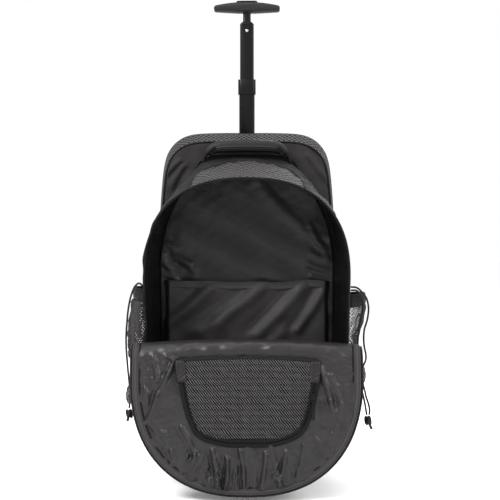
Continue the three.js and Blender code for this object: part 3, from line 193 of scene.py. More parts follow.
def select_only(piece):
    bpy.ops.object.select_all(action="DESELECT")
    bpy.context.view_layer.objects.active = piece
    piece.select_set(True)


def mesh_grid(name, points, across=None, down=None):
    """A mesh through rows of points, with distances in metres in its UV map."""
    points = np.asarray(points, float)
    rows, columns = points.shape[:2]
    if across is None:
        across = np.broadcast_to(run_along(points[rows // 2]), (rows, columns))
    if down is None:
        down = np.broadcast_to(run_along(points[:, columns // 2])[:, None], (rows, columns))
    bpy.ops.object.select_all(action="DESELECT")
    bpy.ops.mesh.primitive_grid_add(x_subdivisions=columns - 1, y_subdivisions=rows - 1)
    piece = named(name)
    piece.data.vertices.foreach_set("co", points.reshape(-1))
    corners = np.empty(len(piece.data.loops), int)
    piece.data.loops.foreach_get("vertex_index", corners)
    uv = np.stack([across, down], -1).reshape(-1, 2)[corners]
    piece.data.uv_layers[0].data.foreach_set("uv", uv.reshape(-1))
    piece.data.update()
    bpy.ops.object.shade_smooth()
    return piece


def edit(piece, *steps):
    """Runs edit-mode steps on all of a piece."""
    select_only(piece)
    bpy.ops.object.mode_set(mode="EDIT")
    bpy.ops.mesh.select_all(action="SELECT")
    for step in steps:
        step()
    bpy.ops.object.mode_set(mode="OBJECT")


def merge():
    bpy.ops.mesh.remove_doubles(threshold=1e-6)


def cap():
    bpy.ops.mesh.fill_holes(sides=0)


def face_out():
    bpy.ops.mesh.select_all(action="SELECT")
    bpy.ops.mesh.normals_make_consistent(inside=False)


def swept(name, path, section, out=FORWARD, scale=None, closed=False):
    """A closed tube: a section of (across, out) offsets carried along a path."""
    along = directions(path)
    across = np.cross(along, np.broadcast_to(out, path.shape))
    across /= np.linalg.norm(across, axis=1)[:, None]
    up = np.cross(across, along)
    ring = np.array([*section, section[0]], float)
    size = np.ones(len(path)) if scale is None else np.asarray(scale)
    offset = ring[None] * size[:, None, None]
    points = path[:, None] + across[:, None] * offset[..., :1] + up[:, None] * offset[..., 1:]
    if closed:
        points = np.concatenate([points, points[:1]])
    piece = mesh_grid(name, points, across=np.broadcast_to(run_along(ring), points.shape[:2]))
    edit(piece, merge, *([] if closed else [cap]), face_out)
    return piece


def round_section(radius, sides=12, flat=1.0):
    angle = np.linspace(0, 2 * math.pi, sides, endpoint=False)
    return np.stack([radius * np.cos(angle), radius * flat * np.sin(angle)], axis=1)


def apply_modifier(piece, kind, **settings):
    select_only(piece)
    modifier = piece.modifiers.new("form", kind)
    for name, value in settings.items():
        setattr(modifier, name, value)
    bpy.ops.object.modifier_apply(modifier=modifier.name)


def dress(piece, materials, slot, *nodes, body="bag", wall=0.0, other_side=0):
    """Finishes a piece: it takes its materials, gets its cloth's thickness where it has a wall, rides on its
    body and stands for the named nodes. other_side picks the inner face's material from the piece's list."""
    for material in materials if isinstance(materials, tuple) else (materials,):
        piece.data.materials.append(material)
    if wall:
        apply_modifier(piece, "SOLIDIFY", thickness=wall, offset=0.0, material_offset=other_side)
    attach(piece, body)
    if nodes:
        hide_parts(*nodes)
    return piece


def uv_stripes(material, width, slope, sharpness=1.0):
    """Soft stripes, 0 to 1, across lines u + slope * v of a piece's UV map, a width in metres apart."""
    place = add(material, "TexCoord")
    split = add(material, "SeparateXYZ", links={0: place.outputs["UV"]})
    along = add(material, "Math", {"operation": "MULTIPLY_ADD"},
                {0: split.outputs["Y"], 1: slope, 2: split.outputs["X"]})
    wave = add(material, "Math", {"operation": "PINGPONG"}, {0: along.outputs[0], 1: width / 2})
    share = add(material, "Math", {"operation": "MULTIPLY"}, {0: wave.outputs[0], 1: 2 / width})
    return add(material, "Math", {"operation": "POWER"}, {0: share.outputs[0], 1: sharpness}).outputs[0]


def bump(material, height, distance, below=None):
    """Raises the surface by a pattern; below is the bump that it lies on."""
    links = {"Height": height, "Distance": distance, "Strength": 1.0}
    if below is not None:
        links["Normal"] = below
    return add(material, "Bump", links=links).outputs["Normal"]


def speckle(material, size, detail=2.0):
    """Cloudy noise on the object's own coordinates, with grains about a size in metres."""
    place = add(material, "TexCoord")
    return add(material, "TexNoise", links={
        "Vector": place.outputs["Object"], "Scale": 1 / size, "Detail": detail}).outputs["Fac"]


def tinted(material, share, low, high):
    """Gives the material a colour between two hex colours, by a pattern."""
    ramp = add(material, "ValToRGB", links={"Fac": share})
    ramp.color_ramp.elements[0].position = 0.25
    ramp.color_ramp.elements[1].position = 0.75
    ramp.color_ramp.elements[0].color = (*linear(low), 1)
    ramp.color_ramp.elements[1].color = (*linear(high), 1)
    feed(material, "Base Color", ramp.outputs["Color"])
    return ramp.outputs["Color"]


def crossed(material, width, slope=1.0, sharpness=1.0, operation="MAXIMUM"):
    """Two families of stripes that cross, as in a braid or a weave."""
    return add(material, "Math", {"operation": operation}, {
        0: uv_stripes(material, width, slope, sharpness),
        1: uv_stripes(material, width, -slope, sharpness)}).outputs[0]


def grained(name, color, roughness, grain, depth, sockets=None, detail=3.0):
    """A material with a fine uneven grain, of a size and depth in metres."""
    material = surface(name, color, roughness, sockets)
    feed(material, "Normal", bump(material, speckle(material, grain, detail), depth))
    return material


def ribbed(name, color, roughness, width, slope, depth):
    """A material with raised ribs, of a width and depth in metres."""
    material = surface(name, color, roughness)
    feed(material, "Normal", bump(material, uv_stripes(material, width, slope), depth))
    return material


# Braided cord: strands cross the length both ways, which reads as a fine raised lattice
cord_braid = surface("braided polyester cord", "#0f0e0f", 0.62)
strands = crossed(cord_braid, 0.0033)
feed(cord_braid, "Normal", bump(cord_braid, strands, 0.0007))
tinted(cord_braid, strands, "#060506", "#242323")

# Moulded acetal of the cord locks: dark, with pale flecks and a low shine
lock_plastic = surface("moulded acetal, flecked", "#121213", 0.38)
flecks = add(lock_plastic, "TexVoronoi", links={
    "Vector": add(lock_plastic, "TexCoord").outputs["Object"], "Scale": 420}).outputs["Distance"]
tinted(lock_plastic, flecks, "#5d5a58", "#080808")
feed(lock_plastic, "Normal", bump(lock_plastic, flecks, 0.0006))


def cord_lock(name, node):
    """A round two-hole lock with a sprung plunger on top."""
    low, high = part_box(node)
    centre, size = (low + high) / 2, high - low
    bpy.ops.object.select_all(action="DESELECT")
    bpy.ops.mesh.primitive_uv_sphere_add(segments=24, ring_count=16, radius=0.5)
    piece = named(name)
    for v in piece.data.vertices:
        waist = 1 - 0.16 * math.exp(-(((v.co.z - 0.22) / 0.07) ** 2))
        v.co.x *= size.x * waist
        v.co.y *= size.y * waist
        v.co.z = math.copysign(min(abs(v.co.z) * 1.06, 0.5), v.co.z) * size.z
        v.co += centre
    piece.data.update()
    bpy.ops.object.shade_smooth()
    return dress(piece, lock_plastic, "plastic", node)


def knot(name, node, tail):
    """An overhand knot with its cut end below it."""
    low, high = (np.array(corner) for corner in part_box(node))
    centre, (width, depth, height) = (low + high) / 2, high - low - CORD_DIAMETER
    angle = np.linspace(0, 2 * math.pi, 60)
    trefoil = np.stack([
        (np.sin(angle) + 2 * np.sin(2 * angle)) / 6 * width,
        (np.cos(angle) - 2 * np.cos(2 * angle)) / 6 * depth * 0.8,
        -np.sin(3 * angle) / 2 * height * 0.8,
    ], axis=1) + centre
    loosened = round_section(CORD_DIAMETER * 0.55, 10)
    piece = swept(name, trefoil[:-1], loosened, (0.3, -0.9, 0.3), closed=True)
    end = swept(name + "_end", smooth_path([centre, centre + tail * 0.5, centre + tail], 8), loosened,
                scale=np.linspace(1, 1.25, 8))
    dress(end, cord_braid, "cord")
    return dress(piece, cord_braid, "cord", node), end


def drawcord(name, route, end_pieces, *nodes):
    path = smooth_path(route, 90)
    piece = swept(name, path, round_section(CORD_DIAMETER / 2, 12))
    dress(piece, cord_braid, "cord", *nodes)


right_lock = cord_lock("cord_lock_barrel_right", "cord_lock_right")
left_lock = cord_lock("cord_lock_barrel_left", "cord_lock_left")
right_knot, right_end = knot("cord_knot_tied_right", "cord_knot_right", np.array((0.006, 0.0, -0.014)))
left_knot, left_end = knot("cord_knot_tied_left", "cord_knot_left", np.array((-0.003, 0.0, -0.012)))
drawcord("pocket_cord_right_outer", RIGHT_OUTER_ROUTE, [right_lock, right_knot, right_end],
         "drawcord_right_outer", "drawcord_right_tail_outer")
drawcord("pocket_cord_right_inner", RIGHT_INNER_ROUTE, [],
         "drawcord_right_inner", "drawcord_right_tail_inner")
drawcord("pocket_cord_left", LEFT_ROUTE, [left_lock, left_knot, left_end],
         "drawcord_left", "drawcord_left_tail")


# Main compartment: an open front with a zipper tape round its rim, sides of dark diamond ripstop that
# turn to plain nylon towards the back, a thin glossy black lining and a low front panel. The rim is sewn
# to the flap at the bottom, and the side band is bound to the rear wall with a black piped seam.
SHOULDERED = [(1, 0), (0.974, 0.19), (0.908, 0.41), (0.776, 0.63), (0.62, 0.765), (0.575, 0.84),
              (0.535, 0.925), (0.44, 0.98), (0.2, 1), (0, 1)]
SQUARE = [(1, 0), (0.96, 0.33), (0.935, 0.58), (0.905, 0.76), (0.85, 0.87), (0.74, 0.95), (0.58, 0.99),
          (0.3, 1), (0, 1)]
MOUTH = {"half": 0.165, "foot": 0.159, "low": 0.022, "corner": 0.024, "spring": 0.277, "top": 0.437,
         "arch": 2.42}
REAR_SEAM = {"half": 0.151, "foot": 0.148, "low": 0.022, "corner": 0.024, "spring": 0.3, "top": 0.483,
             "arch": SHOULDERED}
REAR_WALL = {**REAR_SEAM, "half": 0.152, "foot": 0.149, "top": 0.508, "arch": SQUARE}
MOUTH_Y, REAR_Y = -0.11, 0.032
SIDE_BULGE = 0.006
RIPSTOP_SHARE, RIPSTOP_HALF = 0.55, 0.092
RIPSTOP_PITCH = 0.0088
HINGE_SEAM_Z = 0.169
REAR_LINING_Y, LAPTOP_FACE_Y = 0.0292, 0.0335
PIPING_RADIUS = 0.0018


def half_outline(o, side_steps=28, arch_steps=72):
    """Half of an outline, from the middle of its bottom up its +X side to its top, as (x, z)."""
    inner, low = o["foot"] - o["corner"], o["low"] + o["corner"]
    turn = np.linspace(-math.pi / 2, 0, 9)
    climb = np.linspace(0, 1, side_steps + 1)[1:]
    bottom = [(x, o["low"]) for x in np.linspace(0, inner, 9)[:-1]]
    corner = np.stack([inner + o["corner"] * np.cos(turn), low + o["corner"] * np.sin(turn)], axis=1)
    side = np.stack([o["foot"] + (o["half"] - o["foot"]) * climb, low + (o["spring"] - low) * climb], axis=1)
    rise = np.linspace(0, 1, arch_steps + 1)[1:]
    if isinstance(o["arch"], list):
        table = np.array(o["arch"], float)
        ends = np.vstack([table[0] * 2 - table[1], table, [-table[-2][0], table[-2][1]]])
        at = rise * (len(table) - 1)
        k = np.minimum(at.astype(int), len(table) - 2)
        t = (at - k)[:, None]
        arch = curve_between(ends[k], ends[k + 1], ends[k + 2], ends[k + 3], t)
    else:
        quarter = rise * math.pi / 2
        arch = np.stack([np.cos(quarter).clip(0), np.sin(quarter)], axis=1) ** (2 / o["arch"])
    arch = arch * [o["half"], o["top"] - o["spring"]] + [0, o["spring"]]
    return np.vstack([bottom, corner, side, arch])


def whole_outline(o):
    """A closed outline, from the middle of its bottom up its +X side, over the top and back."""
    right = half_outline(o)
    return np.vstack([right, (right * [-1, 1])[-2::-1]])


def grown(outline, distance):
    """An outline moved out by a distance."""
    along = np.gradient(outline, axis=0)
    along[0] = along[-1] = outline[1] - outline[-2]  # the outline's ends meet
    along /= np.linalg.norm(along, axis=1)[:, None]
    return outline + np.stack([along[:, 1], -along[:, 0]], axis=1) * distance


def smoothstep(value, low, high):
    t = np.clip((value - low) / (high - low), 0, 1)
    return t * t * (3 - 2 * t)


def drape(a, b, size, seed, waves=9):
    """Soft uneven ripples, about -1 to 1, over two distances; size is their usual length."""
    pick = np.random.default_rng(seed)
    total = 0
    for turn, phase, pace in zip(pick.uniform(0, 2 * math.pi, waves), pick.uniform(0, 2 * math.pi, waves),
                                 pick.uniform(0.6, 1.7, waves)):
        total = total + np.sin((a * math.cos(turn) + b * math.sin(turn)) * 2 * math.pi * pace / size + phase)
    return total / math.sqrt(waves)


def fold(x, z, line, width, lean=0.45):
    """A fold, 0 to 1, along a line (x0, z0, x1, z1), with a shallow valley on one side of it."""
    x0, z0, x1, z1 = line
    run = np.array((x1 - x0, z1 - z0))
    long = np.hypot(*run)
    along = ((x - x0) * run[0] + (z - z0) * run[1]) / long
    off = ((x - x0) * -run[1] + (z - z0) * run[0]) / long
    off = off + 0.036 * long * np.sin(along / long * 2.6)
    ends = np.exp(-(np.maximum(np.maximum(-along, along - long), 0) / (width * 1.2)) ** 2)
    return ends * (np.exp(-(off / width) ** 2) - lean * np.exp(-((off - 1.7 * width) / width) ** 2))


def folds_at(x, z, table, lean=0.45):
    """The height of all the folds of a table, with rows of both ends, width and height."""
    total = 0
    for *line, width, height in table:
        total = total + height * fold(x, z, line, width, lean)
    return total


def flat_section(half, low, high):
    """A flat strip's section: its half width, and how far it reaches in and out."""
    return [(-half, low), (-half, high), (half, high), (half, low)]


def mirrored(half, middle=()):
    """A section from its left half, with the points on its middle."""
    return [*half, *middle, *[(-a, b) for a, b in half[::-1]]]


def band(name, front, rear, front_y, rear_y, rows, bulge=0.0, shape=None):
    """A side band between two closed outlines; shape moves its points (x, y, z, share)."""
    share = np.linspace(1, 0, rows)[:, None]
    x = front[None, :, 0] + (rear - front)[None, :, 0] * share
    z = front[None, :, 1] + (rear - front)[None, :, 1] * share
    y = front_y + (rear_y - front_y) * share + 0 * x
    middle = (z.min(axis=1) + z.max(axis=1))[:, None] / 2
    out_x, out_z = x / np.abs(x).max(), (z - middle) / (z.max() - middle)
    size = np.hypot(out_x, out_z) + 1e-9
    swell = bulge * np.sin(math.pi * share) * smoothstep(z, 0.04, 0.075)
    points = np.stack([x + out_x / size * swell, y, z + out_z / size * swell], axis=-1)
    if shape is not None:
        points = shape(points, share + 0 * x, np.stack([out_x / size, 0 * x, out_z / size], axis=-1))
    return mesh_grid(name, points)


# Diamond ripstop: thick grey threads stand out of a black ground in a lattice of diamonds
diamond_ripstop = surface("diamond ripstop nylon", "#1a191a", 0.5)
threads = crossed(diamond_ripstop, RIPSTOP_PITCH, 1.0, 3.5)
tinted(diamond_ripstop, threads, "#030303", "#514e4e")
feed(diamond_ripstop, "Normal", bump(diamond_ripstop, threads, 0.0005))

# Plain packcloth: a matt, slightly brown black with an even fine weave
packcloth = surface("plain nylon packcloth", "#1c1a1a", 0.62)
feed(packcloth, "Normal", bump(packcloth, crossed(packcloth, 0.0011, operation="MULTIPLY"), 0.00012,
                               bump(packcloth, speckle(packcloth, 0.03), 0.0012)))

# Lining: thin coated taffeta that shines along its creases
lining_cloth = grained("coated taffeta lining", "#232222", 0.36, 0.008, 0.0006)

# Grosgrain and zipper tape: fine ribs across the band
tape_cloth = ribbed("black woven tape", "#090809", 0.6, 0.0014, 0.0, 0.0004)

# Nylon coil: round teeth in a row, a little shinier than the tape
coil_nylon = ribbed("nylon zipper coil", "#100f10", 0.34, 0.0013, 1.0, 0.0009)

mouth, rear_seam = whole_outline(MOUTH), whole_outline(REAR_SEAM)


def soft_side(points, share, out):
    """The band's cloth ripples a little between its seams."""
    x, y, z = points[..., 0], points[..., 1], points[..., 2]
    run = np.arctan2(z - 0.25, x)
    loose = np.sin(math.pi * np.clip(share, 0, 1)) ** 0.7 * smoothstep(z, 0.05, 0.1)
    ripple = 0.0016 * drape(run * 0.22, y, 0.07, 5) + 0.0008 * drape(run * 0.22, y, 0.022, 6)
    return points + out * (ripple * loose)[..., None]


# The band's packcloth and lining are darkened well below the cloth of the bag's front: painted shade for the
# shadow that falls in the band
band_lining_painted_shade = grained("lining of the side band, darkened as painted shade", "#0b0a0a", 0.45, 0.01, 0.001)
band_cloth_painted_shade = grained("packcloth of the side band, darkened as painted shade", "#0d0c0c", 0.62, 0.02, 0.0012)


def panel_share(x):
    """How far back the ripstop panel on top of the band reaches, as a share of the band's depth."""
    return RIPSTOP_SHARE * np.clip(1 - (np.abs(x) / RIPSTOP_HALF) ** 2.5, 0, 1) ** 0.5


gusset = band("main_side_band", mouth, rear_seam, MOUTH_Y - 0.001, REAR_Y, 60, SIDE_BULGE, soft_side)
# Faces off the ripstop panel get the darkened packcloth and the inside faces the darkened lining: painted
# shade
for face in gusset.data.polygons:
    behind = (face.center.y - MOUTH_Y) / (REAR_Y - MOUTH_Y)
    on_top = face.center.z > 0.3 and behind < panel_share(face.center.x)
    face.material_index = 0 if on_top else 1
dress(gusset, (diamond_ripstop, band_cloth_painted_shade, band_lining_painted_shade, band_lining_painted_shade), "ripstop", "main_gusset",
      wall=0.0026, other_side=2)

# The seam round the ripstop panel is bound with tape, in two rows of stitches
seam_x = RIPSTOP_HALF * np.sin(np.linspace(-math.pi / 2, math.pi / 2, 140))
right_front, right_rear = half_outline(MOUTH), half_outline(REAR_SEAM)


def top_at(x, share):
    """Height of the band's cloth over its top, at x and a share of its depth."""
    mixed = right_front + (right_rear - right_front) * share
    arch = mixed[mixed[:, 1] > 0.3][::-1]
    return np.interp(abs(x), arch[:, 0], arch[:, 1]) + SIDE_BULGE * math.sin(math.pi * share) * 0.9 + 0.0018


seam_path = np.array([(x, MOUTH_Y + (REAR_Y - MOUTH_Y) * panel_share(x), top_at(x, panel_share(x)))
                      for x in seam_x])
side_seam = swept("main_side_seam", evenly(seam_path, 140), mirrored(
    [(-0.0036, -0.001), (-0.0036, 0.0004), (-0.0024, 0.0013)], [(0, 0.0005)]), (0, -0.3, 1.0))
dress(side_seam, tape_cloth, "webbing")

# Low front panel, behind the flap's hinge
panel_rows = half_outline(MOUTH, 60, 12)
panel_rows = panel_rows[panel_rows[:, 1] < HINGE_SEAM_Z][7:]
share_across = np.linspace(-1, 1, 90)
x = (panel_rows[:, :1] - 0.003) * share_across[None]
z = panel_rows[:, 1:] + 0 * x
y = -0.1115 + 0.0012 * drape(x, z, 0.08, 11)
front_panel = mesh_grid("main_low_panel", np.stack([x, y, z], axis=-1))
dress(front_panel, (packcloth, lining_cloth), "nylon", "main_lower_front", wall=0.0024, other_side=1)

# Zipper tape round the rim with its coil on the outer edge; it stands a little uneven on the -X side
rim = mouth[mouth[:, 1] > HINGE_SEAM_Z]
rim_wave = 0.0014 * drape(rim[:, 0], rim[:, 1], 0.05, 21) * smoothstep(-rim[:, 0], 0.08, 0.14)
rim_out = grown(mouth, 0.0006)[mouth[:, 1] > HINGE_SEAM_Z] + np.stack([rim_wave, 0 * rim_wave], axis=1)
tape_path = evenly(np.stack([rim_out[:, 0], np.full(len(rim), -0.1128), rim_out[:, 1]], axis=1), 260)
rim_tape = swept("main_rim_tape_sewn", tape_path, flat_section(0.0016, -0.003, 0.0022))
dress(rim_tape, tape_cloth, "webbing", "main_rim_tape")
rim_coil = swept("main_rim_coil", tape_path + np.array((0, -0.0026, 0)), round_section(0.0017, 10))
dress(rim_coil, coil_nylon, "webbing")


def rows_of(o, side_steps, arch_steps, inset=0.0):
    """Half widths and heights of an outline's rows from its bottom to its flat top."""
    right = half_outline(o, side_steps, arch_steps)[8:]
    right = right - [inset, 0]
    right = right[right[:, 0] > 0.02]
    right[:, 1] = np.clip(right[:, 1], None, o["top"] - inset)
    return right


def wall(name, rows, columns, depth):
    """Cloth across an outline's rows; depth gives its y from (x, z)."""
    x = rows[:, :1] * np.linspace(-1, 1, columns)[None]
    z = rows[:, 1:] + 0 * x
    return mesh_grid(name, np.stack([x, depth(x, z), z], axis=-1), across=x, down=z)


LINING_FOLDS = [
    # x and z of both ends, width, height
    (-0.138, 0.335, -0.09, 0.29, 0.007, 0.0034), (-0.146, 0.31, -0.12, 0.27, 0.006, 0.003),
    (0.11, 0.365, 0.142, 0.31, 0.006, 0.003), (0.02, 0.44, 0.1, 0.36, 0.011, 0.0026)]
FACE_CREASES = [
    (-0.118, 0.476, -0.147, 0.444, 0.004, 0.0036), (-0.112, 0.466, -0.13, 0.432, 0.005, 0.0034),
    (0.108, 0.486, 0.14, 0.446, 0.005, 0.0032)]
GATHER_ENDS = [(0.118, 0.338, 0.149, 0.322), (0.112, 0.316, 0.149, 0.302), (0.108, 0.296, 0.149, 0.284),
               (0.1, 0.352, 0.147, 0.344), (-0.148, 0.3, -0.118, 0.286), (-0.148, 0.318, -0.1, 0.3),
               (-0.148, 0.336, -0.112, 0.326), (-0.148, 0.284, -0.126, 0.272), (0.114, 0.276, 0.149, 0.27)]


def rear_lining_y(x, z):
    """The lining hangs in soft gathers from the rear seam."""
    gathers = folds_at(x, z, LINING_FOLDS)
    slack = 0.0013 * drape(x, z, 0.09, 31) + 0.0003 * drape(x, z, 0.03, 32)
    for k, end in enumerate(GATHER_ENDS):
        gathers = gathers + 0.003 * fold(x, z, end, 0.0042 + 0.0008 * (k % 3))
    return REAR_LINING_Y - np.maximum(gathers, 0) - slack


rear_lining = wall("main_rear_lining", rows_of(REAR_SEAM, 80, 70, 0.001), 120, rear_lining_y)
dress(rear_lining, lining_cloth, "lining", wall=0.0008)


def laptop_face_y(x, z):
    """The face of the laptop compartment, with diagonal creases below its top corners."""
    return LAPTOP_FACE_Y - folds_at(x, z, FACE_CREASES) - 0.0008 * drape(x, z, 0.05, 33)


laptop_face = wall("laptop_front_face", rows_of(REAR_WALL, 40, 70), 90, laptop_face_y)
dress(laptop_face, packcloth, "nylon", "compartment_wall", wall=0.0018)

# Piped seams: cord in a strip of black cloth, sewn in where the side bands meet the rear wall
piping_cloth = ribbed("black piping cloth", "#070607", 0.5, 0.0024, 0.4, 0.0003)
for name, outline, y, low, node in (
        ("main_piped_seam", grown(rear_seam, 0.0043), 0.0299, 0.31, "main_piping"),
        ("laptop_piped_seam", grown(whole_outline(REAR_WALL), 0.0021), LAPTOP_FACE_Y, 0.12, "laptop_piping")):
    line = outline[outline[:, 1] > low]
    path = evenly(np.stack([line[:, 0], np.full(len(line), y), line[:, 1]], axis=1), 220)
    seam = swept(name, path, round_section(PIPING_RADIUS, 10))
    dress(seam, piping_cloth, "webbing", node)


# Interior pocket: a flat sleeve of the lining's cloth on the rear wall, with a turned and stitched hem
# along its mouth. It is wider than the wall, so it hangs in broad slanting folds.
POCKET_HALF, POCKET_LOW, POCKET_TOP, POCKET_OUT = 0.143, 0.044, 0.268, 0.016
POCKET_BACK_Y, POCKET_HEM = 0.0305, 0.012
POCKET_FOLDS = [
    (-0.141, 0.19, -0.066, 0.258, 0.011, 0.0065), (-0.078, 0.182, 0.03, 0.266, 0.012, 0.0065),
    (0.02, 0.176, 0.096, 0.264, 0.011, 0.006), (0.088, 0.185, 0.128, 0.25, 0.008, 0.0045),
    (-0.12, 0.1, -0.05, 0.19, 0.013, 0.005), (-0.02, 0.11, 0.06, 0.18, 0.013, 0.005),
]

pocket_cloth = surface("divider taffeta", "#2d2b2b", 0.42)
feed(pocket_cloth, "Normal", bump(pocket_cloth, crossed(pocket_cloth, 0.0009, operation="MULTIPLY"), 0.0001,
                                  bump(pocket_cloth, speckle(pocket_cloth, 0.012, 3.0), 0.0008)))


def pocket_y(x, z):
    """The sleeve stands out from the wall between its side seams, more towards its mouth."""
    out = smoothstep(1 - np.abs(x) / POCKET_HALF, 0, 0.07) * POCKET_OUT
    out = out * (0.72 + 0.28 * smoothstep(z, 0.1, 0.25))
    below_hem = smoothstep(POCKET_TOP + 0.006 - z, 0, 0.022)
    folds = np.maximum(folds_at(x, z, POCKET_FOLDS), -0.002) * below_hem
    return POCKET_BACK_Y - out - folds - 0.0009 * drape(x, z, 0.06, 41)


def mouth_dip(x):
    """How far the sleeve's mouth rises and falls along its width."""
    return -0.0016 * np.cos(x / POCKET_HALF * math.pi) + 0.0012 * drape(x, 0 * x, 0.09, 43)


x = np.linspace(-POCKET_HALF, POCKET_HALF, 170)[None] + np.zeros((130, 1))
share_up = np.linspace(0, 1, 130)[:, None]
z = POCKET_LOW + (POCKET_TOP - POCKET_LOW) * share_up + mouth_dip(x) * share_up**4
sleeve_points = np.stack([x, pocket_y(x, z), z], axis=-1)
inner_pocket = mesh_grid("interior_pocket_sleeve", sleeve_points, across=x, down=z)
dress(inner_pocket, pocket_cloth, "lining", "interior_pocket", wall=0.0012)
hem_x = np.linspace(-POCKET_HALF, POCKET_HALF, 150)
hem_z = POCKET_TOP + mouth_dip(hem_x)
hem_path = np.stack([hem_x, pocket_y(hem_x, hem_z) - 0.0006, hem_z - POCKET_HEM / 2], axis=1)
pocket_hem = swept("interior_pocket_hem", hem_path, mirrored(
    [(-0.006, -0.0012), (-0.006, 0.0009), (-0.0052, 0.0016), (-0.0042, 0.0009)], [(0, 0.0013)]))
dress(pocket_hem, pocket_cloth, "lining")


# Laptop compartment: two bands of diamond ripstop with a zipper between them that goes up one side, over
# the top and down the other, and a back panel of foam under spacer mesh, quilted in channels.
LAPTOP_SEAM = {**REAR_WALL, "low": 0.07, "corner": 0.022}
LAPTOP_MID = {**LAPTOP_SEAM, "half": 0.158, "foot": 0.156, "top": 0.526}
LAPTOP_REAR = {**LAPTOP_MID, "half": 0.156, "foot": 0.154, "top": 0.519}
ZIP_FRONT_Y, ZIP_REAR_Y, PANEL_Y, PANEL_OUT = 0.0595, 0.0645, 0.109, 0.014
SLOT_STEP = 0.02

laptop_front_band = band("laptop_front_band", whole_outline(LAPTOP_SEAM), whole_outline(LAPTOP_MID), 0.0355,
                         ZIP_FRONT_Y, 10)
laptop_rear_band = band("laptop_rear_band", whole_outline(LAPTOP_MID), whole_outline(LAPTOP_REAR), ZIP_REAR_Y,
                        PANEL_Y, 14)
for v in laptop_rear_band.data.vertices:
    lid = (1 - smoothstep(abs(v.co.x), 0.096, 0.138)) * smoothstep(v.co.z, 0.44, 0.5)
    v.co.y += SLOT_STEP * lid * (PANEL_Y - v.co.y) / (PANEL_Y - ZIP_REAR_Y)
for piece, node in ((laptop_front_band, "laptop_gusset_front"), (laptop_rear_band, "laptop_gusset_rear")):
    dress(piece, (diamond_ripstop, lining_cloth), "ripstop", node, wall=0.0028, other_side=1)

zip_line = whole_outline(LAPTOP_MID)
zip_line = zip_line[zip_line[:, 1] > 0.095]
for name, y, section, material, nodes in (
        ("laptop_zipper_tape", 0.062, flat_section(0.0022, -0.0011, 0.0011), tape_cloth, ["laptop_zipper"]),
        ("laptop_zipper_coil", 0.0605, round_section(0.0018, 10), coil_nylon, [])):
    path = evenly(np.stack([zip_line[:, 0], np.full(len(zip_line), y), zip_line[:, 1]], axis=1), 240)
    piece = swept(name, path, section)
    dress(piece, material, "webbing", *nodes)


def slab(name, rows, columns, flat_y, depth):
    """A closed pad: flat in the plane of y on one side, and depth (x, z) gives the other."""
    span = np.linspace(-1, 1, columns)
    x = rows[:, :1] * np.concatenate([span, span[::-1], span[:1]])[None]
    z = rows[:, 1:] + 0 * x
    y = np.where(np.arange(x.shape[1])[None] < columns, depth(x, z), flat_y)
    y[:, -1] = y[:, 0]
    piece = mesh_grid(name, np.stack([x, y, z], axis=-1), across=x, down=z)
    edit(piece, merge, cap, face_out)
    return piece


spacer_mesh = surface("air mesh over foam", "#0b0a0b", 0.78)
holes = add(spacer_mesh, "TexVoronoi", links={
    "Vector": add(spacer_mesh, "TexCoord").outputs["Object"], "Scale": 330}).outputs["Distance"]
tinted(spacer_mesh, holes, "#050405", "#1a1819")
feed(spacer_mesh, "Normal", bump(spacer_mesh, holes, 0.001))

back_rows = rows_of(LAPTOP_REAR, 70, 40, 0.001)


def back_pad_y(x, z):
    half = np.interp(z, back_rows[:, 1], back_rows[:, 0])
    ring = np.maximum(np.abs(x) / half, np.abs(z - 0.295) / 0.226)
    crown = 0.45 + 0.55 * np.sqrt(np.clip(1 - ring**6, 0, 1))
    channels = np.exp(-(x / 0.006) ** 2)
    for height in (0.16, 0.25, 0.34, 0.43):
        channels = np.maximum(channels, np.exp(-((z - height - 0.25 * np.abs(x)) / 0.0045) ** 2))
    return PANEL_Y + 0.0004 + PANEL_OUT * crown * (1 - 0.34 * channels * (ring < 0.93))


back_pad = slab("back_panel_pad", back_rows, 100, PANEL_Y + 0.0004, back_pad_y)
dress(back_pad, spacer_mesh, "foam", "back_panel")


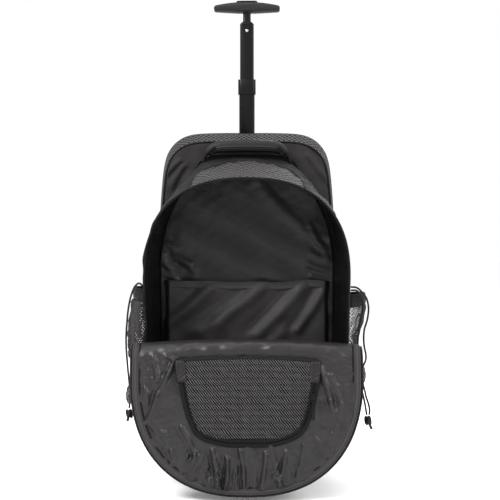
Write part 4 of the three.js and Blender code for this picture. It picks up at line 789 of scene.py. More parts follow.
# Front flap: padded cloth that is unzipped and folds over the low front panel, so that its glossy lining
# faces the viewer. The zipper's tape and coil run round its edge, and the lining is gathered along it.
HINGE_Z, HINGE_RISE, FOLD_RADIUS, HINGE_Y = 0.147, 0.014, 0.016, -0.1166
FOLD_END = HINGE_RISE + math.pi * FOLD_RADIUS
FLAP_HALF, SPRING_DROP, FLAP_DROP, FLAP_POWER = 0.167, 0.034, 0.212, 2.4
HINGE_HALF, FLAP_BELLY = 0.161, 0.007
CREST = HINGE_RISE + math.pi * FOLD_RADIUS / 2
UNDER_BINDING = 0.005
GATHER_COUNT, FOLD_STRENGTH = 84, 1.5
POCKET_SWELL, POCKET_ZIP_DROP = 0.012, 0.062
FLAP_FOLDS = [
    # x and drop of both ends, width, height
    (-0.1457, 0.002, -0.1398, 0.0393, 0.0052, 0.0034), (-0.1264, 0.001, -0.1143, 0.0078, 0.0032, 0.0022),
    (-0.1143, 0.0078, -0.124, 0.0313, 0.0034, 0.0028), (-0.124, 0.0313, -0.1397, 0.0627, 0.0038, 0.003),
    (-0.1397, 0.0627, -0.1554, 0.1059, 0.0036, 0.003), (-0.1594, 0.051, -0.1554, 0.0784, 0.0028, 0.002),
    (-0.1005, 0.1177, -0.0809, 0.1609, 0.0042, 0.003), (-0.0809, 0.1609, -0.0926, 0.1923, 0.0036, 0.0028),
    (-0.0534, 0.153, -0.0455, 0.2158, 0.004, 0.0034), (-0.0102, 0.153, -0.0044, 0.208, 0.0034, 0.003),
    (0.1154, 0.0195, 0.1311, 0.0745, 0.0044, 0.0026), (0.1311, 0.0745, 0.139, 0.1216, 0.0038, 0.0024),
    (0.1311, 0.03, 0.147, 0.082, 0.0034, 0.002), (0.03, 0.16, 0.022, 0.212, 0.0036, 0.003),
    (0.062, 0.156, 0.05, 0.207, 0.0034, 0.0028), (0.09, 0.145, 0.078, 0.195, 0.0036, 0.0026),
    (-0.13, 0.125, -0.115, 0.165, 0.004, 0.0024), (-0.15, 0.112, -0.128, 0.15, 0.0034, 0.002),
    (-0.03, 0.165, -0.034, 0.214, 0.003, 0.0026), (0.108, 0.135, 0.13, 0.16, 0.0036, 0.002),
]


def flap_half(d, extra=0.0):
    """The flap's half width at a distance from its hinge, with its round end grown by extra."""
    widen = smoothstep(d, HINGE_RISE, HINGE_RISE + 0.025)
    up = np.clip((d - FOLD_END - SPRING_DROP) / (FLAP_DROP + extra - SPRING_DROP), 0, 1)
    half = HINGE_HALF + (FLAP_HALF + extra - HINGE_HALF) * widen
    return half * (1 - up**FLAP_POWER).clip(0) ** (1 / FLAP_POWER)


def on_flap(x, d, stand):
    """A point that stands off the flap's middle, at x and at a distance d from its hinge."""
    x, d = np.broadcast_arrays(np.asarray(x, float), np.asarray(d, float))
    turn = np.clip((d - HINGE_RISE) / FOLD_RADIUS, 0, math.pi)
    ny, nz = np.cos(turn), np.sin(turn)
    drop = np.clip(d - FOLD_END, 0, None)
    belly = FLAP_BELLY * np.sin(math.pi * np.clip(drop / (FLAP_DROP + 0.017), 0, 1))
    y = HINGE_Y - FOLD_RADIUS * (1 - ny) - belly
    z = HINGE_Z + np.minimum(d, HINGE_RISE) + FOLD_RADIUS * nz - drop
    sag = np.where(x < 0, 0.009, 0.0125) * np.abs(x / FLAP_HALF) ** 2.2 * np.sin(turn / 2)
    hangs = d > FOLD_END
    fade = np.where(hangs, 1 - smoothstep(drop, 0, 0.1), 1)
    out_y, out_z = np.where(hangs, -1.0, ny), np.where(hangs, 0, nz)
    return np.stack([x + 0 * d, y + out_y * stand, z + out_z * stand - sag * fade], axis=-1)


def flap_edge(highest, count=420):
    """The flap's edge from one side down round its bottom to the other, as (x, distance)."""
    sides = np.linspace(highest, FOLD_END + SPRING_DROP, 60)
    turn = np.linspace(0, math.pi / 2, 121)[1:]
    round_x = FLAP_HALF * np.cos(turn).clip(0) ** (2 / FLAP_POWER)
    round_d = FOLD_END + SPRING_DROP + (FLAP_DROP - SPRING_DROP) * np.sin(turn) ** (2 / FLAP_POWER)
    right = np.vstack([np.stack([flap_half(sides), sides], axis=1), np.stack([round_x, round_d], axis=1)])
    return evenly(np.vstack([right, (right * [-1, 1])[-2::-1]]), count)


def inward(path, distance):
    """The edge path moved in towards the flap's middle."""
    along = directions(path)
    return path + np.stack([-along[:, 1], along[:, 0]], axis=1) * distance


def edge_band(name, path, ring):
    """A closed band along the flap's edge; its section is (distance in from the path, stand)."""
    ring = [*ring, ring[0]]
    rows = np.stack([on_flap(*inward(path, e).T, h) for e, h in ring], axis=1)
    piece = mesh_grid(name, rows, across=np.broadcast_to(run_along(np.array(ring)), rows.shape[:2]))
    edit(piece, merge, cap, face_out)
    return piece


flap_rim = flap_edge(CREST)
gather_seam = inward(flap_rim, 0.0175)
GATHER_LENGTH = run_along(gather_seam)[-1]


def near_edge(x, d):
    """Distance in from the lining's seam, and how far along the seam, of each point."""
    step = gather_seam[::2]
    off = np.hypot(x[..., None] - step[:, 0], d[..., None] - step[:, 1])
    return off.min(axis=-1), off.argmin(axis=-1) * GATHER_LENGTH / (len(step) - 1)


def gathers(x, d, seed):
    """Short tucks that run in from the seam, longer along the bottom."""
    distance, run = near_edge(x, d)
    pick = np.random.default_rng(seed)
    height = 0 * x
    for _ in range(GATHER_COUNT):
        at, width = pick.uniform(0.02, GATHER_LENGTH - 0.02), pick.uniform(0.0016, 0.0034)
        low = math.exp(-((at / GATHER_LENGTH - 0.5) / 0.17) ** 2)
        reach = pick.uniform(0.008, 0.018) + low * pick.uniform(0.014, 0.06)
        lean = pick.normal(0, 0.25)
        ridge = np.exp(-((run - at - lean * distance) / (width * (1 + distance / 0.03))) ** 2)
        rise = (0.3 + low) * pick.uniform(0.0012, 0.0034)
        height = height + rise * ridge * np.exp(-(distance / reach) ** 2)
    return height


# The coated lining has a soft gloss, which shows its folds as pale streaks
lining_gloss = grained("coated lining of the flap", "#1c1a1a", 0.4, 0.006, 0.0002,
                       {"Specular IOR Level": 0.26})

round_share = np.sin(np.linspace(0, math.radians(84), 121)[1:]) ** (2 / FLAP_POWER)
steps = np.concatenate([np.linspace(0.002, FOLD_END + SPRING_DROP, 70),
                        FOLD_END + SPRING_DROP + (FLAP_DROP + UNDER_BINDING - SPRING_DROP) * round_share])
d = steps[:, None] + np.zeros((1, 230))
x = flap_half(steps, UNDER_BINDING)[:, None] * np.linspace(-1, 1, 230)[None]
drop = d - FOLD_END
creases = gathers(x, d, 51) + FOLD_STRENGTH * folds_at(x, drop, FLAP_FOLDS, 0.4)
creases = creases + 0.0012 * drape(x, drop, 0.05, 52) + 0.0003 * drape(x, drop, 0.016, 53)
creases = creases * smoothstep(d, CREST - 0.01, FOLD_END + 0.008)
flap_lining = mesh_grid("flap_lining", on_flap(x, d, 0.003 + creases)[:, ::-1], across=x[:, ::-1], down=d)
dress(flap_lining, lining_gloss, "lining", wall=0.0008)


# Outside of the flap: plain packcloth over foam, with a shallow zipped pocket that bulges a little
def outer_swell(x, drop):
    """How far the outer pocket bulges."""
    middle = (1 - (x / FLAP_HALF) ** 4).clip(0)
    return POCKET_SWELL * np.sin(math.pi * np.clip(drop / FLAP_DROP, 0, 1)) ** 0.6 * middle


outer_stand = -0.003 - outer_swell(x, drop) - 0.0008 * drape(x, drop, 0.07, 54)
every = (slice(None, None, 2), slice(None, None, 2))
flap_outer = mesh_grid("flap_outer_cloth", on_flap(x, d, outer_stand)[every], across=x[every], down=d[every])
dress(flap_outer, packcloth, "nylon", "flap_panel", wall=0.0012)
zip_x = np.linspace(-0.12, 0.12, 80)
zip_path = on_flap(zip_x, FOLD_END + POCKET_ZIP_DROP, -0.0045 - outer_swell(zip_x, POCKET_ZIP_DROP))
for name, radius, flat, material in (("flap_pocket_zip_tape", 0.007, 0.25, tape_cloth),
                                     ("flap_pocket_zip_coil", 0.0024, 0.9, coil_nylon)):
    piece = swept(name, zip_path, round_section(radius, 14, flat), (0, 1.0, 0))
    dress(piece, material, "webbing")

# Edge: a grosgrain band over the padding's raw edge, the zipper coil outside it and a puckered seam inside
rim_cloth = surface("grey-black grosgrain", "#252323", 0.58)
ribs = crossed(rim_cloth, 0.003, 0.8)
tinted(rim_cloth, ribs, "#070606", "#383535")
feed(rim_cloth, "Normal", bump(rim_cloth, ribs, 0.0005))
binding = edge_band("flap_binding_sewn", flap_rim, [
    (-0.0132, -0.0036), (-0.0132, 0.0026), (-0.0122, 0.0042), (-0.0108, 0.0046), (-0.0102, 0.0036),
    (-0.0096, 0.0048), (-0.0072, 0.0052), (-0.0052, 0.0048), (-0.0046, 0.0036), (-0.004, 0.0046),
    (-0.003, 0.0042), (-0.0022, 0.0032), (-0.0022, -0.0036)])
dress(binding, rim_cloth, "webbing", "flap_binding")
flap_coil = edge_band("flap_coil", flap_rim, [
    (-0.0168, 0.0), (-0.0166, 0.0018), (-0.0152, 0.0032), (-0.0136, 0.0032), (-0.0128, 0.001),
    (-0.0136, -0.001), (-0.0152, -0.0014)])
dress(flap_coil, coil_nylon, "webbing")
groove = edge_band("flap_zip_groove", flap_rim, [
    (-0.0024, 0.001), (-0.0024, 0.0038), (0.0004, 0.0034), (0.0004, 0.001)])
dress(groove, tape_cloth, "webbing")


# Net pocket on the flap's lining: an open diamond net over a near-black backing sheet, which is painted shade
# behind the net, with a zipper sewn round its sides and bottom. Both ends of the zipper are covered by folded
# tabs, and the slider is on the +X side.
NET_EDGE = [  # the zipper band's outer edge, as (x, drop below the fold)
    (0.118, 0.0085), (0.1166, 0.03), (0.1122, 0.059), (0.1066, 0.088), (0.098, 0.112), (0.082, 0.133),
    (0.0447, 0.147), (0.0, 0.1485), (-0.036, 0.147), (-0.0745, 0.135), (-0.0905, 0.112), (-0.0985, 0.088),
    (-0.1044, 0.059), (-0.1094, 0.03), (-0.112, 0.0085)]
NET_MIDDLE = 0.003
NET_TOP_DROP, NET_DEPTH = 0.0085, 0.128
NET_STAND, NET_SWELL = 0.0078, 0.006
STRAND_PITCH, STRAND_SLOPE = 0.0041, 1.2
STRAND_SAMPLES = 64
net_edge = smooth_path([(x, FOLD_END + drop) for x, drop in NET_EDGE], 320)
net_inner = inward(net_edge, 0.014)


def band_half(path, d):
    """Half width of the room inside a path at a distance d."""
    right = path[: len(path) // 2]
    return np.interp(d, right[:, 1], right[:, 0] - NET_MIDDLE)


def net_stand(x, d):
    """How far the net stands off the flap: most in its middle, with a few soft pulls."""
    share = np.clip((d - FOLD_END - NET_TOP_DROP) / NET_DEPTH, 0, 1)
    across = np.clip((x - NET_MIDDLE) / (band_half(net_inner, d) + 1e-6), -1, 1)
    swell = (1 - across**4) * np.sin(math.pi * share) ** 0.7
    pull = 0.0012 * drape(x, d, 0.06, 61) * swell
    return NET_STAND + NET_SWELL * swell + pull


# The near-black sheet under the net is painted shade: it stands for the lining lying in shadow behind the net
net_backing_painted_shade = surface("black sheet behind the net, painted shade", "#030203", 0.55)
net_thread = surface("open polyester net", "#484646", 0.6)
net_thread_thin = surface("thin threads of the net", "#131212", 0.6)

back_d = np.linspace(FOLD_END + 0.009, net_inner[:, 1].max() - 0.0005, 60)[:, None] + np.zeros((1, 80))
back_x = NET_MIDDLE + band_half(inward(net_edge, 0.008), back_d) * np.linspace(1, -1, 80)[None]
shade_backing = mesh_grid("net_pocket_shade_backing", on_flap(back_x, back_d, 0.0046), across=back_x, down=back_d)
dress(shade_backing, net_backing_painted_shade, "lining", wall=0.0006)


def prune(piece, faces):
    """Takes faces out of a mesh by their numbers."""
    loose = bmesh.new()
    loose.from_mesh(piece.data)
    loose.faces.ensure_lookup_table()
    bmesh.ops.delete(loose, geom=[loose.faces[k] for k in faces], context="FACES")
    loose.to_mesh(piece.data)
    loose.free()


def strands(name, slope, width, lift, material, *nodes):
    """One family of parallel strands of the net, cut off along its edge."""
    low, high = FOLD_END + NET_TOP_DROP, net_inner[:, 1].max() + 0.001
    reach = abs((high - low) / slope)
    starts = np.arange(-0.1 - reach, 0.1 + reach, STRAND_PITCH)[:, None] + NET_MIDDLE
    line_d = low + (high - low) * np.linspace(0, 1, STRAND_SAMPLES)[None] + 0 * starts
    line_x = starts + (line_d - low) / slope + 0.0005 * drape(starts + 0 * line_d, line_d, 0.02, 62)
    x = np.stack([line_x - width / 2, line_x + width / 2], axis=1).reshape(-1, STRAND_SAMPLES)
    d = np.repeat(line_d, 2, axis=0)
    wave = 0.5 * lift * np.cos(line_d * math.pi / (STRAND_PITCH * abs(slope)))
    piece = mesh_grid(name, on_flap(x, d, net_stand(x, d) + np.repeat(wave, 2, axis=0)))
    inside = (np.abs(x - NET_MIDDLE) < band_half(inward(net_edge, 0.0105), d)) & (d < high - 0.0005)
    corners = np.array([p.vertices for p in piece.data.polygons])
    between_strands = corners.min(axis=1) // STRAND_SAMPLES % 2 == 1
    prune(piece, np.flatnonzero(between_strands | ~inside.reshape(-1)[corners].all(axis=1)))
    dress(piece, material, "net", *nodes, wall=0.0006)


strands("net_pocket_strands", STRAND_SLOPE, 0.0014, 0.0003, net_thread, "flap_net")
strands("net_pocket_cross_strands", -STRAND_SLOPE, 0.0008, -0.0003, net_thread_thin)

zip_band = edge_band("net_pocket_zip_band", net_edge, [
    (0.0, 0.0034), (0.0, 0.0056), (0.0012, 0.0068), (0.004, 0.0074), (0.0048, 0.009), (0.006, 0.009),
    (0.0066, 0.0072), (0.0084, 0.0072), (0.009, 0.0092), (0.0102, 0.0092), (0.011, 0.0076), (0.0136, 0.0078),
    (0.0146, 0.0068), (0.0146, 0.0034)])
dress(zip_band, tape_cloth, "webbing", "flap_net_zipper")
net_coil = edge_band("net_pocket_zip_coil", net_edge, [
    (0.0064, 0.0076), (0.0064, 0.0086), (0.0071, 0.0092), (0.0078, 0.0086), (0.0078, 0.0076)])
dress(net_coil, coil_nylon, "webbing")

hem_x, hem_d = np.linspace(0.112, -0.106, 120), np.full(120, FOLD_END + NET_TOP_DROP)
hem_section = mirrored([(-0.0035, -0.003), (-0.0035, 0.0005)], [(0, 0.0011)])
net_hem = swept("net_pocket_top_hem", on_flap(hem_x, hem_d, net_stand(hem_x, hem_d) + 0.0002), hem_section)
dress(net_hem, tape_cloth, "webbing")

tab_cloth = grained("folded end tabs", "#1a1818", 0.5, 0.006, 0.0008)
for name, x_low, x_high in (("left", -0.1128, -0.0965), ("right", 0.1005, 0.1178)):
    u, v = np.linspace(-1, 1, 26)[None], np.linspace(-1, 1, 40)[:, None]
    slant = -np.sign(x_low) * 0.004 * (v + 1) / 2
    tab_x = (x_low + x_high) / 2 + (x_high - x_low) / 2 * u * (1 - 0.12 * v**4) + slant
    tab_d = FOLD_END + 0.0265 + 0.0185 * v * (1 - 0.06 * u**4)
    puff = (1 - u**6) * (1 - v**6)
    ruck = np.exp(-((v - 0.35 + 0.3 * u) / 0.12) ** 2) + np.exp(-((v - 0.7 + 0.3 * u) / 0.1) ** 2)
    stand = 0.0065 + 0.0032 * puff**0.5 + 0.001 * ruck + 0.0004 * drape(tab_x, tab_d, 0.014, 63)
    tab = mesh_grid("net_pocket_tab_" + name, on_flap(tab_x[:, ::-1], tab_d[:, ::-1], stand[:, ::-1]))
    dress(tab, tab_cloth, "webbing", wall=0.001)

# Zipper slider and its pull: stamped steel with a dark gunmetal plating
gunmetal = surface("gunmetal plated steel", "#1c1a1a", 0.32, {"Metallic": 0.85})


def rounded_box(name, low, high, radius):
    """A box between two corners with rounded edges."""
    bpy.ops.object.select_all(action="DESELECT")
    bpy.ops.mesh.primitive_cube_add(size=1)
    piece = named(name)
    for v in piece.data.vertices:
        for k in range(3):
            v.co[k] = low[k] + (v.co[k] + 0.5) * (high[k] - low[k])
    apply_modifier(piece, "BEVEL", width=radius, segments=3)
    bpy.ops.object.shade_smooth_by_angle(angle=math.radians(40))
    return piece


slider_low, slider_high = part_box("flap_zip_slider")
zip_slider = rounded_box("net_pocket_slider", slider_low, slider_high, 0.0017)
dress(zip_slider, gunmetal, "black_metal", "flap_zip_slider")
pull_low, pull_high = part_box("flap_zip_pull")
pull_mid = [(a + b) / 2 for a, b in zip(pull_low, pull_high)]
ring = np.linspace(0, 2 * math.pi, 40, endpoint=False)
pull_loop = np.stack([
    pull_mid[0] + np.cos(ring) * (0.0014 + 0.0006 * np.cos(ring) ** 2),
    np.full(40, pull_mid[1]),
    pull_high[2] - 0.0055 - np.sin(ring) * 0.0046], axis=1)
pull_ring = swept("net_pocket_pull_ring", pull_loop, round_section(0.0009, 8), closed=True)
dress(pull_ring, gunmetal, "black_metal", body="zip_pull")
tongue = rounded_box("net_pocket_pull", (pull_mid[0] - 0.0024, pull_low[1] + 0.0002, pull_low[2]),
                     (pull_mid[0] + 0.0024, pull_high[1] - 0.0002, pull_high[2] - 0.0085), 0.0008)
for v in tongue.data.vertices:
    share = (v.co.z - pull_low[2]) / (pull_high[2] - pull_low[2])
    v.co.x = pull_mid[0] + (v.co.x - pull_mid[0]) * (1.1 - 0.35 * math.sin(math.pi * min(share * 1.4, 1)))
dress(tongue, gunmetal, "black_metal", "flap_zip_pull", body="zip_pull")


# Side pockets: a low part of packcloth and an open net above it, gathered by a drawcord in a black hem.
# The right one stands open, while the left one's net has fallen together into folds.
POCKET_FRONT, POCKET_BACK, POCKET_FLOOR = -0.092, 0.02, 0.024
POCKET_HEIGHT = {"right": 0.226, "left": 0.236}
POCKET_REACH = 0.034
POCKET_ROWS = {
    "up": (0, 0.01, 0.16, 0.3, 0.42, 0.57, 0.67, 0.78, 0.9, 1),
    "right": (0.09, 0.62, 0.76, 0.74, 0.66, 0.57, 0.6, 0.83, 0.97, 0.82),
    "left": (0.09, 0.6, 0.7, 0.76, 0.82, 0.91, 0.94, 0.86, 0.72, 0.5)}
NET_FROM, NET_TO, HEM_AT = 0.3, 0.92, 0.95
NET_HOLE, NET_COLUMNS = 0.0062, 34


def body_side(y, z):
    """The main compartment's half width at a depth and a height."""
    share = np.clip((y - MOUTH_Y) / (REAR_Y - MOUTH_Y), 0, 1)
    mouth_rows, rear_rows = half_outline(MOUTH)[9:], half_outline(REAR_SEAM)[9:]
    front = np.interp(z, mouth_rows[:, 1], mouth_rows[:, 0])
    back = np.interp(z, rear_rows[:, 1], rear_rows[:, 0])
    return front + (back - front) * share + SIDE_BULGE * np.sin(math.pi * share) + 0.0015


def on_pocket(side, v, up, stand=0.0):
    """A point of a side pocket's cloth at shares of its depth and its height."""
    v, up = np.broadcast_arrays(np.asarray(v, float), np.asarray(up, float))
    reach = np.interp(up, POCKET_ROWS["up"], POCKET_ROWS[side]) * POCKET_REACH
    reach = reach * np.sin(math.pi * np.clip(v, 0, 1)) ** 0.6
    y = POCKET_FRONT + (POCKET_BACK - POCKET_FRONT) * v
    z = POCKET_FLOOR + POCKET_HEIGHT[side] * up
    x = body_side(y, np.maximum(z, 0.0388)) + 0.0011 + reach + stand * smoothstep(up, 0.0, 0.04)
    return np.stack([x if side == "right" else -x, y - stand * 0.6 * np.cos(math.pi * v), z], axis=-1)


def pocket_ripple(side, v, up):
    """Folds of the pocket's cloth; the left net hangs in slack bundles."""
    run, rise = v * 0.16, up * 0.23
    seed = 71 if side == "right" else 72
    small = 0.0012 * drape(run, rise, 0.03, seed)
    if side == "left":
        small = small + 0.0022 * drape(run * 1.6, rise * 0.5, 0.028, 73) * smoothstep(up, 0.3, 0.5)
    return small * np.sin(math.pi * v)


def diamond_net(name, points, thread):
    """Threads along the diamonds of a lattice of points: every second point is the middle of a hole."""
    bpy.ops.object.select_all(action="DESELECT")
    bpy.ops.mesh.primitive_plane_add()
    piece = named(name)
    lattice = bmesh.new()
    rows, columns = points.shape[:2]
    knots = {(r, c): lattice.verts.new(points[r, c]) for r in range(rows) for c in range(columns)
             if (r + c) % 2 == 0}
    for r in range(1, rows - 1):
        for c in range(1, columns - 1):
            if (r + c) % 2:
                lattice.faces.new([knots[r, c - 1], knots[r + 1, c], knots[r, c + 1], knots[r - 1, c]])
    lattice.to_mesh(piece.data)
    lattice.free()
    apply_modifier(piece, "WIREFRAME", thickness=thread)
    return piece


low_cloth = grained("packcloth of the pockets", "#242120", 0.55, 0.014, 0.0012)
side_thread = surface("net of the side pockets", "#2d2b2b", 0.6)
for side, thread in (("right", 0.0011), ("left", 0.0022)):
    v, up = np.linspace(0, 1, 70)[None], np.linspace(0.0, NET_FROM + 0.02, 48)[:, None]
    low_part = mesh_grid("side_pocket_cloth_" + side, on_pocket(side, v, up, pocket_ripple(side, v, up)))
    dress(low_part, low_cloth, "nylon", "side_pocket_" + side, wall=0.0016)

    net_rows = round(POCKET_HEIGHT[side] * (NET_TO - NET_FROM) / NET_HOLE)
    i, j = np.meshgrid(np.arange(2 * NET_COLUMNS + 1), np.arange(2 * net_rows + 1))
    v, up = i / (2 * NET_COLUMNS), NET_FROM + (NET_TO - NET_FROM) * j / (2 * net_rows)
    net = diamond_net("side_pocket_net_" + side, on_pocket(side, v, up, pocket_ripple(side, v, up)), thread)
    dress(net, side_thread, "net", "side_net_" + side)

    v = np.linspace(0.0, 1.0, 90)
    hem_path = on_pocket(side, v, HEM_AT + 0.012 * np.sin(v * math.pi), 0.0004)
    hem = swept("side_pocket_hem_" + side, hem_path, mirrored(
        [(-0.0105, -0.0014), (-0.0105, 0.0012), (-0.006, 0.0026)], [(0, 0.0032)]),
        (1.0 if side == "right" else -1.0, -0.25, 0))
    dress(hem, tape_cloth, "webbing", "side_hem_" + side)


# Grab handle: a padded grip of packcloth in an arch on top of the bag. Three raised bound lines run along
# its upper edge, and both ends are sewn down to the top on black webbing.
GRIP_Y, GRIP_THICK, GRIP_DEPTH = 0.012, 0.021, 0.024
GRIP_ARCH = [(-0.0655, 0.4855), (-0.061, 0.4935), (-0.051, 0.4985), (-0.03, 0.5005)]  # (x, z), mirrored
RIDGE_HEIGHT, RIDGE_WIDTH = 0.0018, 0.001


def squared(wave, power):
    """A sine or cosine pressed towards the corners of a square, for sections between round and square."""
    return np.sign(wave) * np.abs(wave) ** power


handle_cloth = grained("padded handle cloth", "#191717", 0.5, 0.01, 0.0008)
grip_path = smooth_path([(x, GRIP_Y, z) for x, z in mirrored(GRIP_ARCH, [(0, 0.501)])], 90)
angle = np.linspace(0, 2 * math.pi, 96, endpoint=False)
section = np.stack([GRIP_THICK / 2 * squared(np.sin(angle), 0.8),
                    GRIP_DEPTH / 2 * squared(np.cos(angle), 0.8)], axis=1)
for ridge in (0.0085, 0.0055, 0.0025):
    raised = RIDGE_HEIGHT * np.exp(-((section[:, 0] - ridge) / RIDGE_WIDTH) ** 2)
    section[:, 1] += raised * (section[:, 1] > 0)
grip = swept("grab_handle_grip", grip_path, section, scale=1 - 0.32 * np.linspace(-1, 1, 90) ** 4)
dress(grip, handle_cloth, "foam", "grab_grip")
for side, node in ((-1, "grab_strap_left"), (1, "grab_strap_right")):
    low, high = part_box(node)
    middle = (low + high) / 2
    points = [(side * 0.055, GRIP_Y - 0.002, 0.4975), (side * 0.063, GRIP_Y - 0.003, 0.492),
              (middle.x + side * 0.003, GRIP_Y - 0.004, middle.z),
              (middle.x + side * 0.007, GRIP_Y - 0.004, low.z + 0.002)]
    strap = swept(node.replace("strap", "handle_base"), smooth_path(points, 24),
                  flat_section(0.012, -0.0022, 0.0022), (side * 1.0, 0, 1.0))
    dress(strap, tape_cloth, "webbing", node)


# Telescopic pole: three oval aluminium tubes with a flat black coat, a moulded lock collar and bezel, a
# steel rivet, and a T grip with ribs under the fingers and a grey release button on its crown.
POLE_AT = 0.096
SMOOTH_BELOW = math.radians(35)
black_coat = surface("flat black coated aluminium", "#0a0a0b", 0.42, {"Metallic": 0.3})
moulded = grained("moulded black nylon", "#030303", 0.4, 0.0012, 0.0001, detail=2.0)
rubber = surface("soft-touch grip", "#1a1a1a", 0.5)
grey_button = surface("light grey acetal", "#b4b4b5", 0.35)
steel = surface("bright steel", "#d8d8d8", 0.2, {"Metallic": 1.0})


def refined(node, name, radius, material, body, slot, segments=2, angle=40):
    """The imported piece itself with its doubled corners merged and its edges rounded."""
    select_only(bpy.data.objects[node])
    bpy.ops.object.duplicate()
    piece = named(name)
    piece.data.materials.clear()
    piece.parent = None
    edit(piece, merge, lambda: bpy.ops.mesh.dissolve_limited(angle_limit=math.radians(1)), face_out)
    if radius:
        apply_modifier(piece, "BEVEL", width=radius, segments=segments, angle_limit=math.radians(angle))
    bpy.ops.object.shade_smooth_by_angle(angle=SMOOTH_BELOW)
    dress(piece, material, slot, node, body=body)


for node, body in (("pole_outer", "bag"), ("pole_middle", "pole_middle"), ("pole_inner", "pole_inner")):
    refined(node, node + "_tube", 0, black_coat, body, "black_metal")
refined("pole_collar", "pole_lock_collar", 0.0009, moulded, "pole_middle", "plastic", angle=25)
refined("pole_bezel", "pole_top_bezel", 0.0012, moulded, "bag", "plastic", angle=25)
refined("rivet", "pole_rivet", 0.0004, steel, "pole_inner", "steel")


def rounded_ring(width, depth, corner):
    """Points round a rectangle with rounded corners, as (x, y)."""
    points = []
    for quarter, (sx, sy) in enumerate(((1, 1), (-1, 1), (-1, -1), (1, -1))):
        for angle in np.linspace(quarter * math.pi / 2, (quarter + 1) * math.pi / 2, 8):
            points.append((sx * (width / 2 - corner) + corner * math.cos(angle),
                           sy * (depth / 2 - corner) + corner * math.sin(angle)))
    return np.array([*points, points[0]])


def upright(name, *levels):
    """A solid on the pole's axis through rounded rectangles; a level is (z, width, depth, corner)."""
    rings = []
    for z, width, depth, corner in levels:
        ring = rounded_ring(width, depth, corner)
        rings.append(np.column_stack([ring[:, 0], ring[:, 1] + POLE_AT, np.full(len(ring), z)]))
    piece = mesh_grid(name, np.array(rings))
    edit(piece, merge, cap, face_out)
    bpy.ops.object.shade_smooth_by_angle(angle=SMOOTH_BELOW)
    return piece


# The bar is thick in its middle and thins towards its rounded ends, with ribs under the fingers
T_HALF, T_CROWN, T_THICK, T_DEEP, T_END_DEEP = 0.059, 0.7665, 0.021, 0.029, 0.02
RIB_PITCH, RIB_HEIGHT, RIB_FROM, RIB_TO = 0.0032, 0.0009, 0.011, 0.056
stations = np.linspace(-T_HALF, T_HALF, 320)
share = np.abs(stations) / T_HALF
pinch = 0.0035 * (1 - np.sqrt(np.clip(1 - ((share - 0.94) / 0.06).clip(0) ** 2, 0, 1)))
top = T_CROWN - 0.0065 * share**2 - pinch
under = T_CROWN - T_THICK + 0.0035 * share + pinch
depth = T_DEEP + (T_END_DEEP - T_DEEP) * share**2 - 2 * pinch
turn = np.linspace(0, 2 * math.pi, 49)
round_y, round_z = squared(np.cos(turn), 0.75)[None], squared(np.sin(turn), 0.75)[None]
out = np.abs(stations)
ribbing = smoothstep(out, RIB_FROM, RIB_FROM + 0.003) * (1 - smoothstep(out, RIB_TO - 0.003, RIB_TO))
rib = RIB_HEIGHT * (0.5 + 0.5 * np.cos(stations / RIB_PITCH * 2 * math.pi)) * ribbing
swell = 1 - (0.0011 - rib[:, None]) / 0.0135 * smoothstep(-round_z, -0.25, 0.1)
grip_rings = np.stack([
    stations[:, None] + 0 * turn[None],
    POLE_AT + depth[:, None] / 2 * round_y * swell,
    (top + under)[:, None] / 2 + (top - under)[:, None] / 2 * round_z * swell], axis=-1)
t_bar = mesh_grid("t_grip_bar", grip_rings)
edit(t_bar, merge, cap, face_out)
dress(t_bar, rubber, "rubberised", "t_grip", body="pole_inner")
neck = upright("t_grip_neck", (0.7253, 0.0246, 0.013, 0.004), (0.727, 0.0246, 0.013, 0.004),
               (0.7292, 0.0205, 0.0124, 0.004), (0.7318, 0.014, 0.011, 0.004), (0.745, 0.0138, 0.011, 0.004),
               (0.752, 0.016, 0.0125, 0.005))
dress(neck, moulded, "plastic", body="pole_inner")
well = upright("t_grip_button_rim", (0.762, 0.0385, 0.0175, 0.00865), (0.7674, 0.0385, 0.0175, 0.00865),
               (0.7682, 0.0372, 0.0162, 0.008), (0.7682, 0.0346, 0.0146, 0.007),
               (0.7662, 0.0344, 0.0144, 0.007))
dress(well, moulded, "plastic", body="pole_inner")
button = upright("t_grip_button", (0.762, 0.034, 0.014, 0.0069), (0.7699, 0.034, 0.014, 0.0069),
                 (0.7709, 0.0332, 0.0132, 0.0065), (0.7715, 0.0312, 0.0112, 0.0055))
dress(button, grey_button, "button", "push_button", body="push_button")


# Base: a moulded tray under the laptop compartment with a wheel well at each end, two feet at the front,
# and wheels of a dark tyre on a dished hub.
refined("base_tray", "base_tray_moulding", 0.0012, moulded, "bag", "plastic")
for side in ("left", "right"):
    refined("foot_" + side, "foot_moulding_" + side, 0.0018, moulded, "bag", "plastic", 3)
    refined("axle_" + side, "axle_pin_" + side, 0.0004, steel, "bag", "steel", 1)

WHEEL_AT_Y, WHEEL_AT_Z = 0.1063, 0.032
TYRE_PROFILE = [  # half of the tyre, as (radius, x offset)
    (0.0252, -0.0118), (0.0296, -0.0119), (0.0312, -0.0108), (0.0318, -0.0092), (0.032, -0.0062),
    (0.032, -0.0052), (0.0312, -0.0048), (0.0312, -0.004), (0.032, -0.0036)]
HUB_PROFILE = [
    (0.0042, -0.0118), (0.0075, -0.0118), (0.0085, -0.0108), (0.0092, -0.0062), (0.0185, -0.0056),
    (0.0205, -0.0068), (0.0215, -0.0104), (0.0235, -0.0114), (0.0249, -0.0108)]
tyre_rubber = surface("polyurethane tyre", "#0f0f10", 0.6)
hub_plastic = surface("grey-black wheel hub", "#1d1d1e", 0.38)


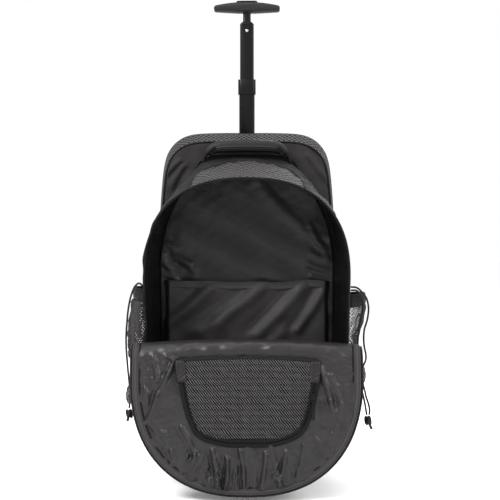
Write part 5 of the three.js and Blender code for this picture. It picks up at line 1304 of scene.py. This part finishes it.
def turned(name, half, x):
    """A ring round a wheel's axle, alike on both sides of x."""
    radius, offset = np.array([*half, *[(r, -out) for r, out in half[::-1]], half[0]]).T
    angle = np.linspace(0, 2 * math.pi, 65)[:, None]
    rings = np.stack([x + offset + 0 * angle, WHEEL_AT_Y + radius * np.cos(angle),
                      WHEEL_AT_Z + radius * np.sin(angle)], axis=-1)
    piece = mesh_grid(name, rings)
    edit(piece, merge, face_out)
    bpy.ops.object.shade_smooth_by_angle(angle=SMOOTH_BELOW)
    return piece


for side in ("left", "right"):
    low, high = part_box("tyre_" + side)
    middle = (low[0] + high[0]) / 2
    for kind, profile, material, slot in (("tyre", TYRE_PROFILE, tyre_rubber, "tyre"),
                                          ("hub", HUB_PROFILE, hub_plastic, "plastic")):
        piece = turned(f"wheel_{kind}_{side}", profile, middle)
        dress(piece, material, slot, f"{kind}_{side}", body="wheel_" + side)


# Shoulder straps: foam under packcloth with a bound edge and a line of webbing sewn on top. Flat webbing
# runs from their lower ends through a ladder buckle to the base.
STRAP_THICK, STRAP_HALF, STRAP_QUILTS = 0.011, 0.03, 7
WEBBING_HALF = 0.0125
STRAP_SECTIONS = [
    (0.27, 0.067, 0.935, 0.9), (0.275, 0.29, 0.957, 0.93), (0.295, 0.6, 0.946, 0.97), (0.333, 0.85, 0.885, 1),
    (0.385, 1, 0.79, 1), (0.423, 0.99, 0.674, 0.97), (0.449, 0.91, 0.559, 0.9), (0.474, 0.7, 0.463, 0.8),
    (0.506, 0.51, 0.41, 0.63)]
WEBBING_POINTS = [(0.51, 0.47, 0.3575), (0.551, 0.38, 0.308), (0.628, 0.2, 0.24), (0.724, 0.03, 0.183),
                  (0.769, -0.08, 0.154)]


def strap_point(x, out, z, side):
    """A strap's point from shares of the back panel's half width, the strap's reach and the bag's height."""
    return (side * x * LAPTOP_REAR["half"], 0.1233 + out * 0.047, z * LAPTOP_REAR["top"])


strap_cloth = grained("strap packcloth", "#161515", 0.58, 0.012, 0.0008)
for name, side in (("left", -1), ("right", 1)):
    stations = np.array([(*strap_point(x, out, z, side), half) for x, out, z, half in STRAP_SECTIONS])
    line = smooth_path(stations, 110)
    path, half = line[:, :3], line[:, 3] * STRAP_HALF
    along = directions(path)
    across = np.cross(along, np.cross(np.broadcast_to((1.0, 0, 0), path.shape), along))
    across /= np.linalg.norm(across, axis=1)[:, None]
    up = np.cross(across, along)
    angle = np.linspace(0, 2 * math.pi, 61)
    flat = squared(np.cos(angle), 0.7)
    seams = np.exp(-((np.linspace(0, 1, 110)[:, None] * STRAP_QUILTS % 1 - 0.5) / 0.09) ** 2)
    thick = squared(np.sin(angle), 0.55) * STRAP_THICK / 2 * (1 - 0.16 * seams * (np.abs(flat) < 0.8))
    wide = (half[:, None] * flat)[..., None]
    rings = path[:, None] + across[:, None] * wide + up[:, None] * thick[..., None]
    pad = mesh_grid("shoulder_strap_pad_" + name, rings)
    edit(pad, merge, cap, face_out)
    dress(pad, strap_cloth, "nylon", "shoulder_strap_" + name)
    outward = up * np.sign((up[:, 1]).sum())
    for kind, offset, section, material in (
            ("webbing_line", 0.0, flat_section(WEBBING_HALF, -0.0006, 0.0012), tape_cloth),
            ("edge_in", -1.0, round_section(0.0024, 8), piping_cloth),
            ("edge_out", 1.0, round_section(0.0024, 8), piping_cloth)):
        lift = STRAP_THICK / 2 * 0.98 if not offset else 0.0
        route = path + outward * lift + across * (half * offset)[:, None]
        piece = swept(f"shoulder_strap_{kind}_{name}", route[2:-2], section, outward.mean(axis=0))
        dress(piece, material, "webbing")
    route = smooth_path([strap_point(*point, side) for point in WEBBING_POINTS], 60)
    lower = swept("strap_webbing_sewn_" + name, route, flat_section(WEBBING_HALF, -0.001, 0.001),
                  (0, 1.0, 0.3))
    dress(lower, tape_cloth, "webbing", "strap_webbing_" + name)
    refined("strap_buckle_" + name, "ladder_buckle_" + name, 0.0008, moulded, "bag", "plastic")
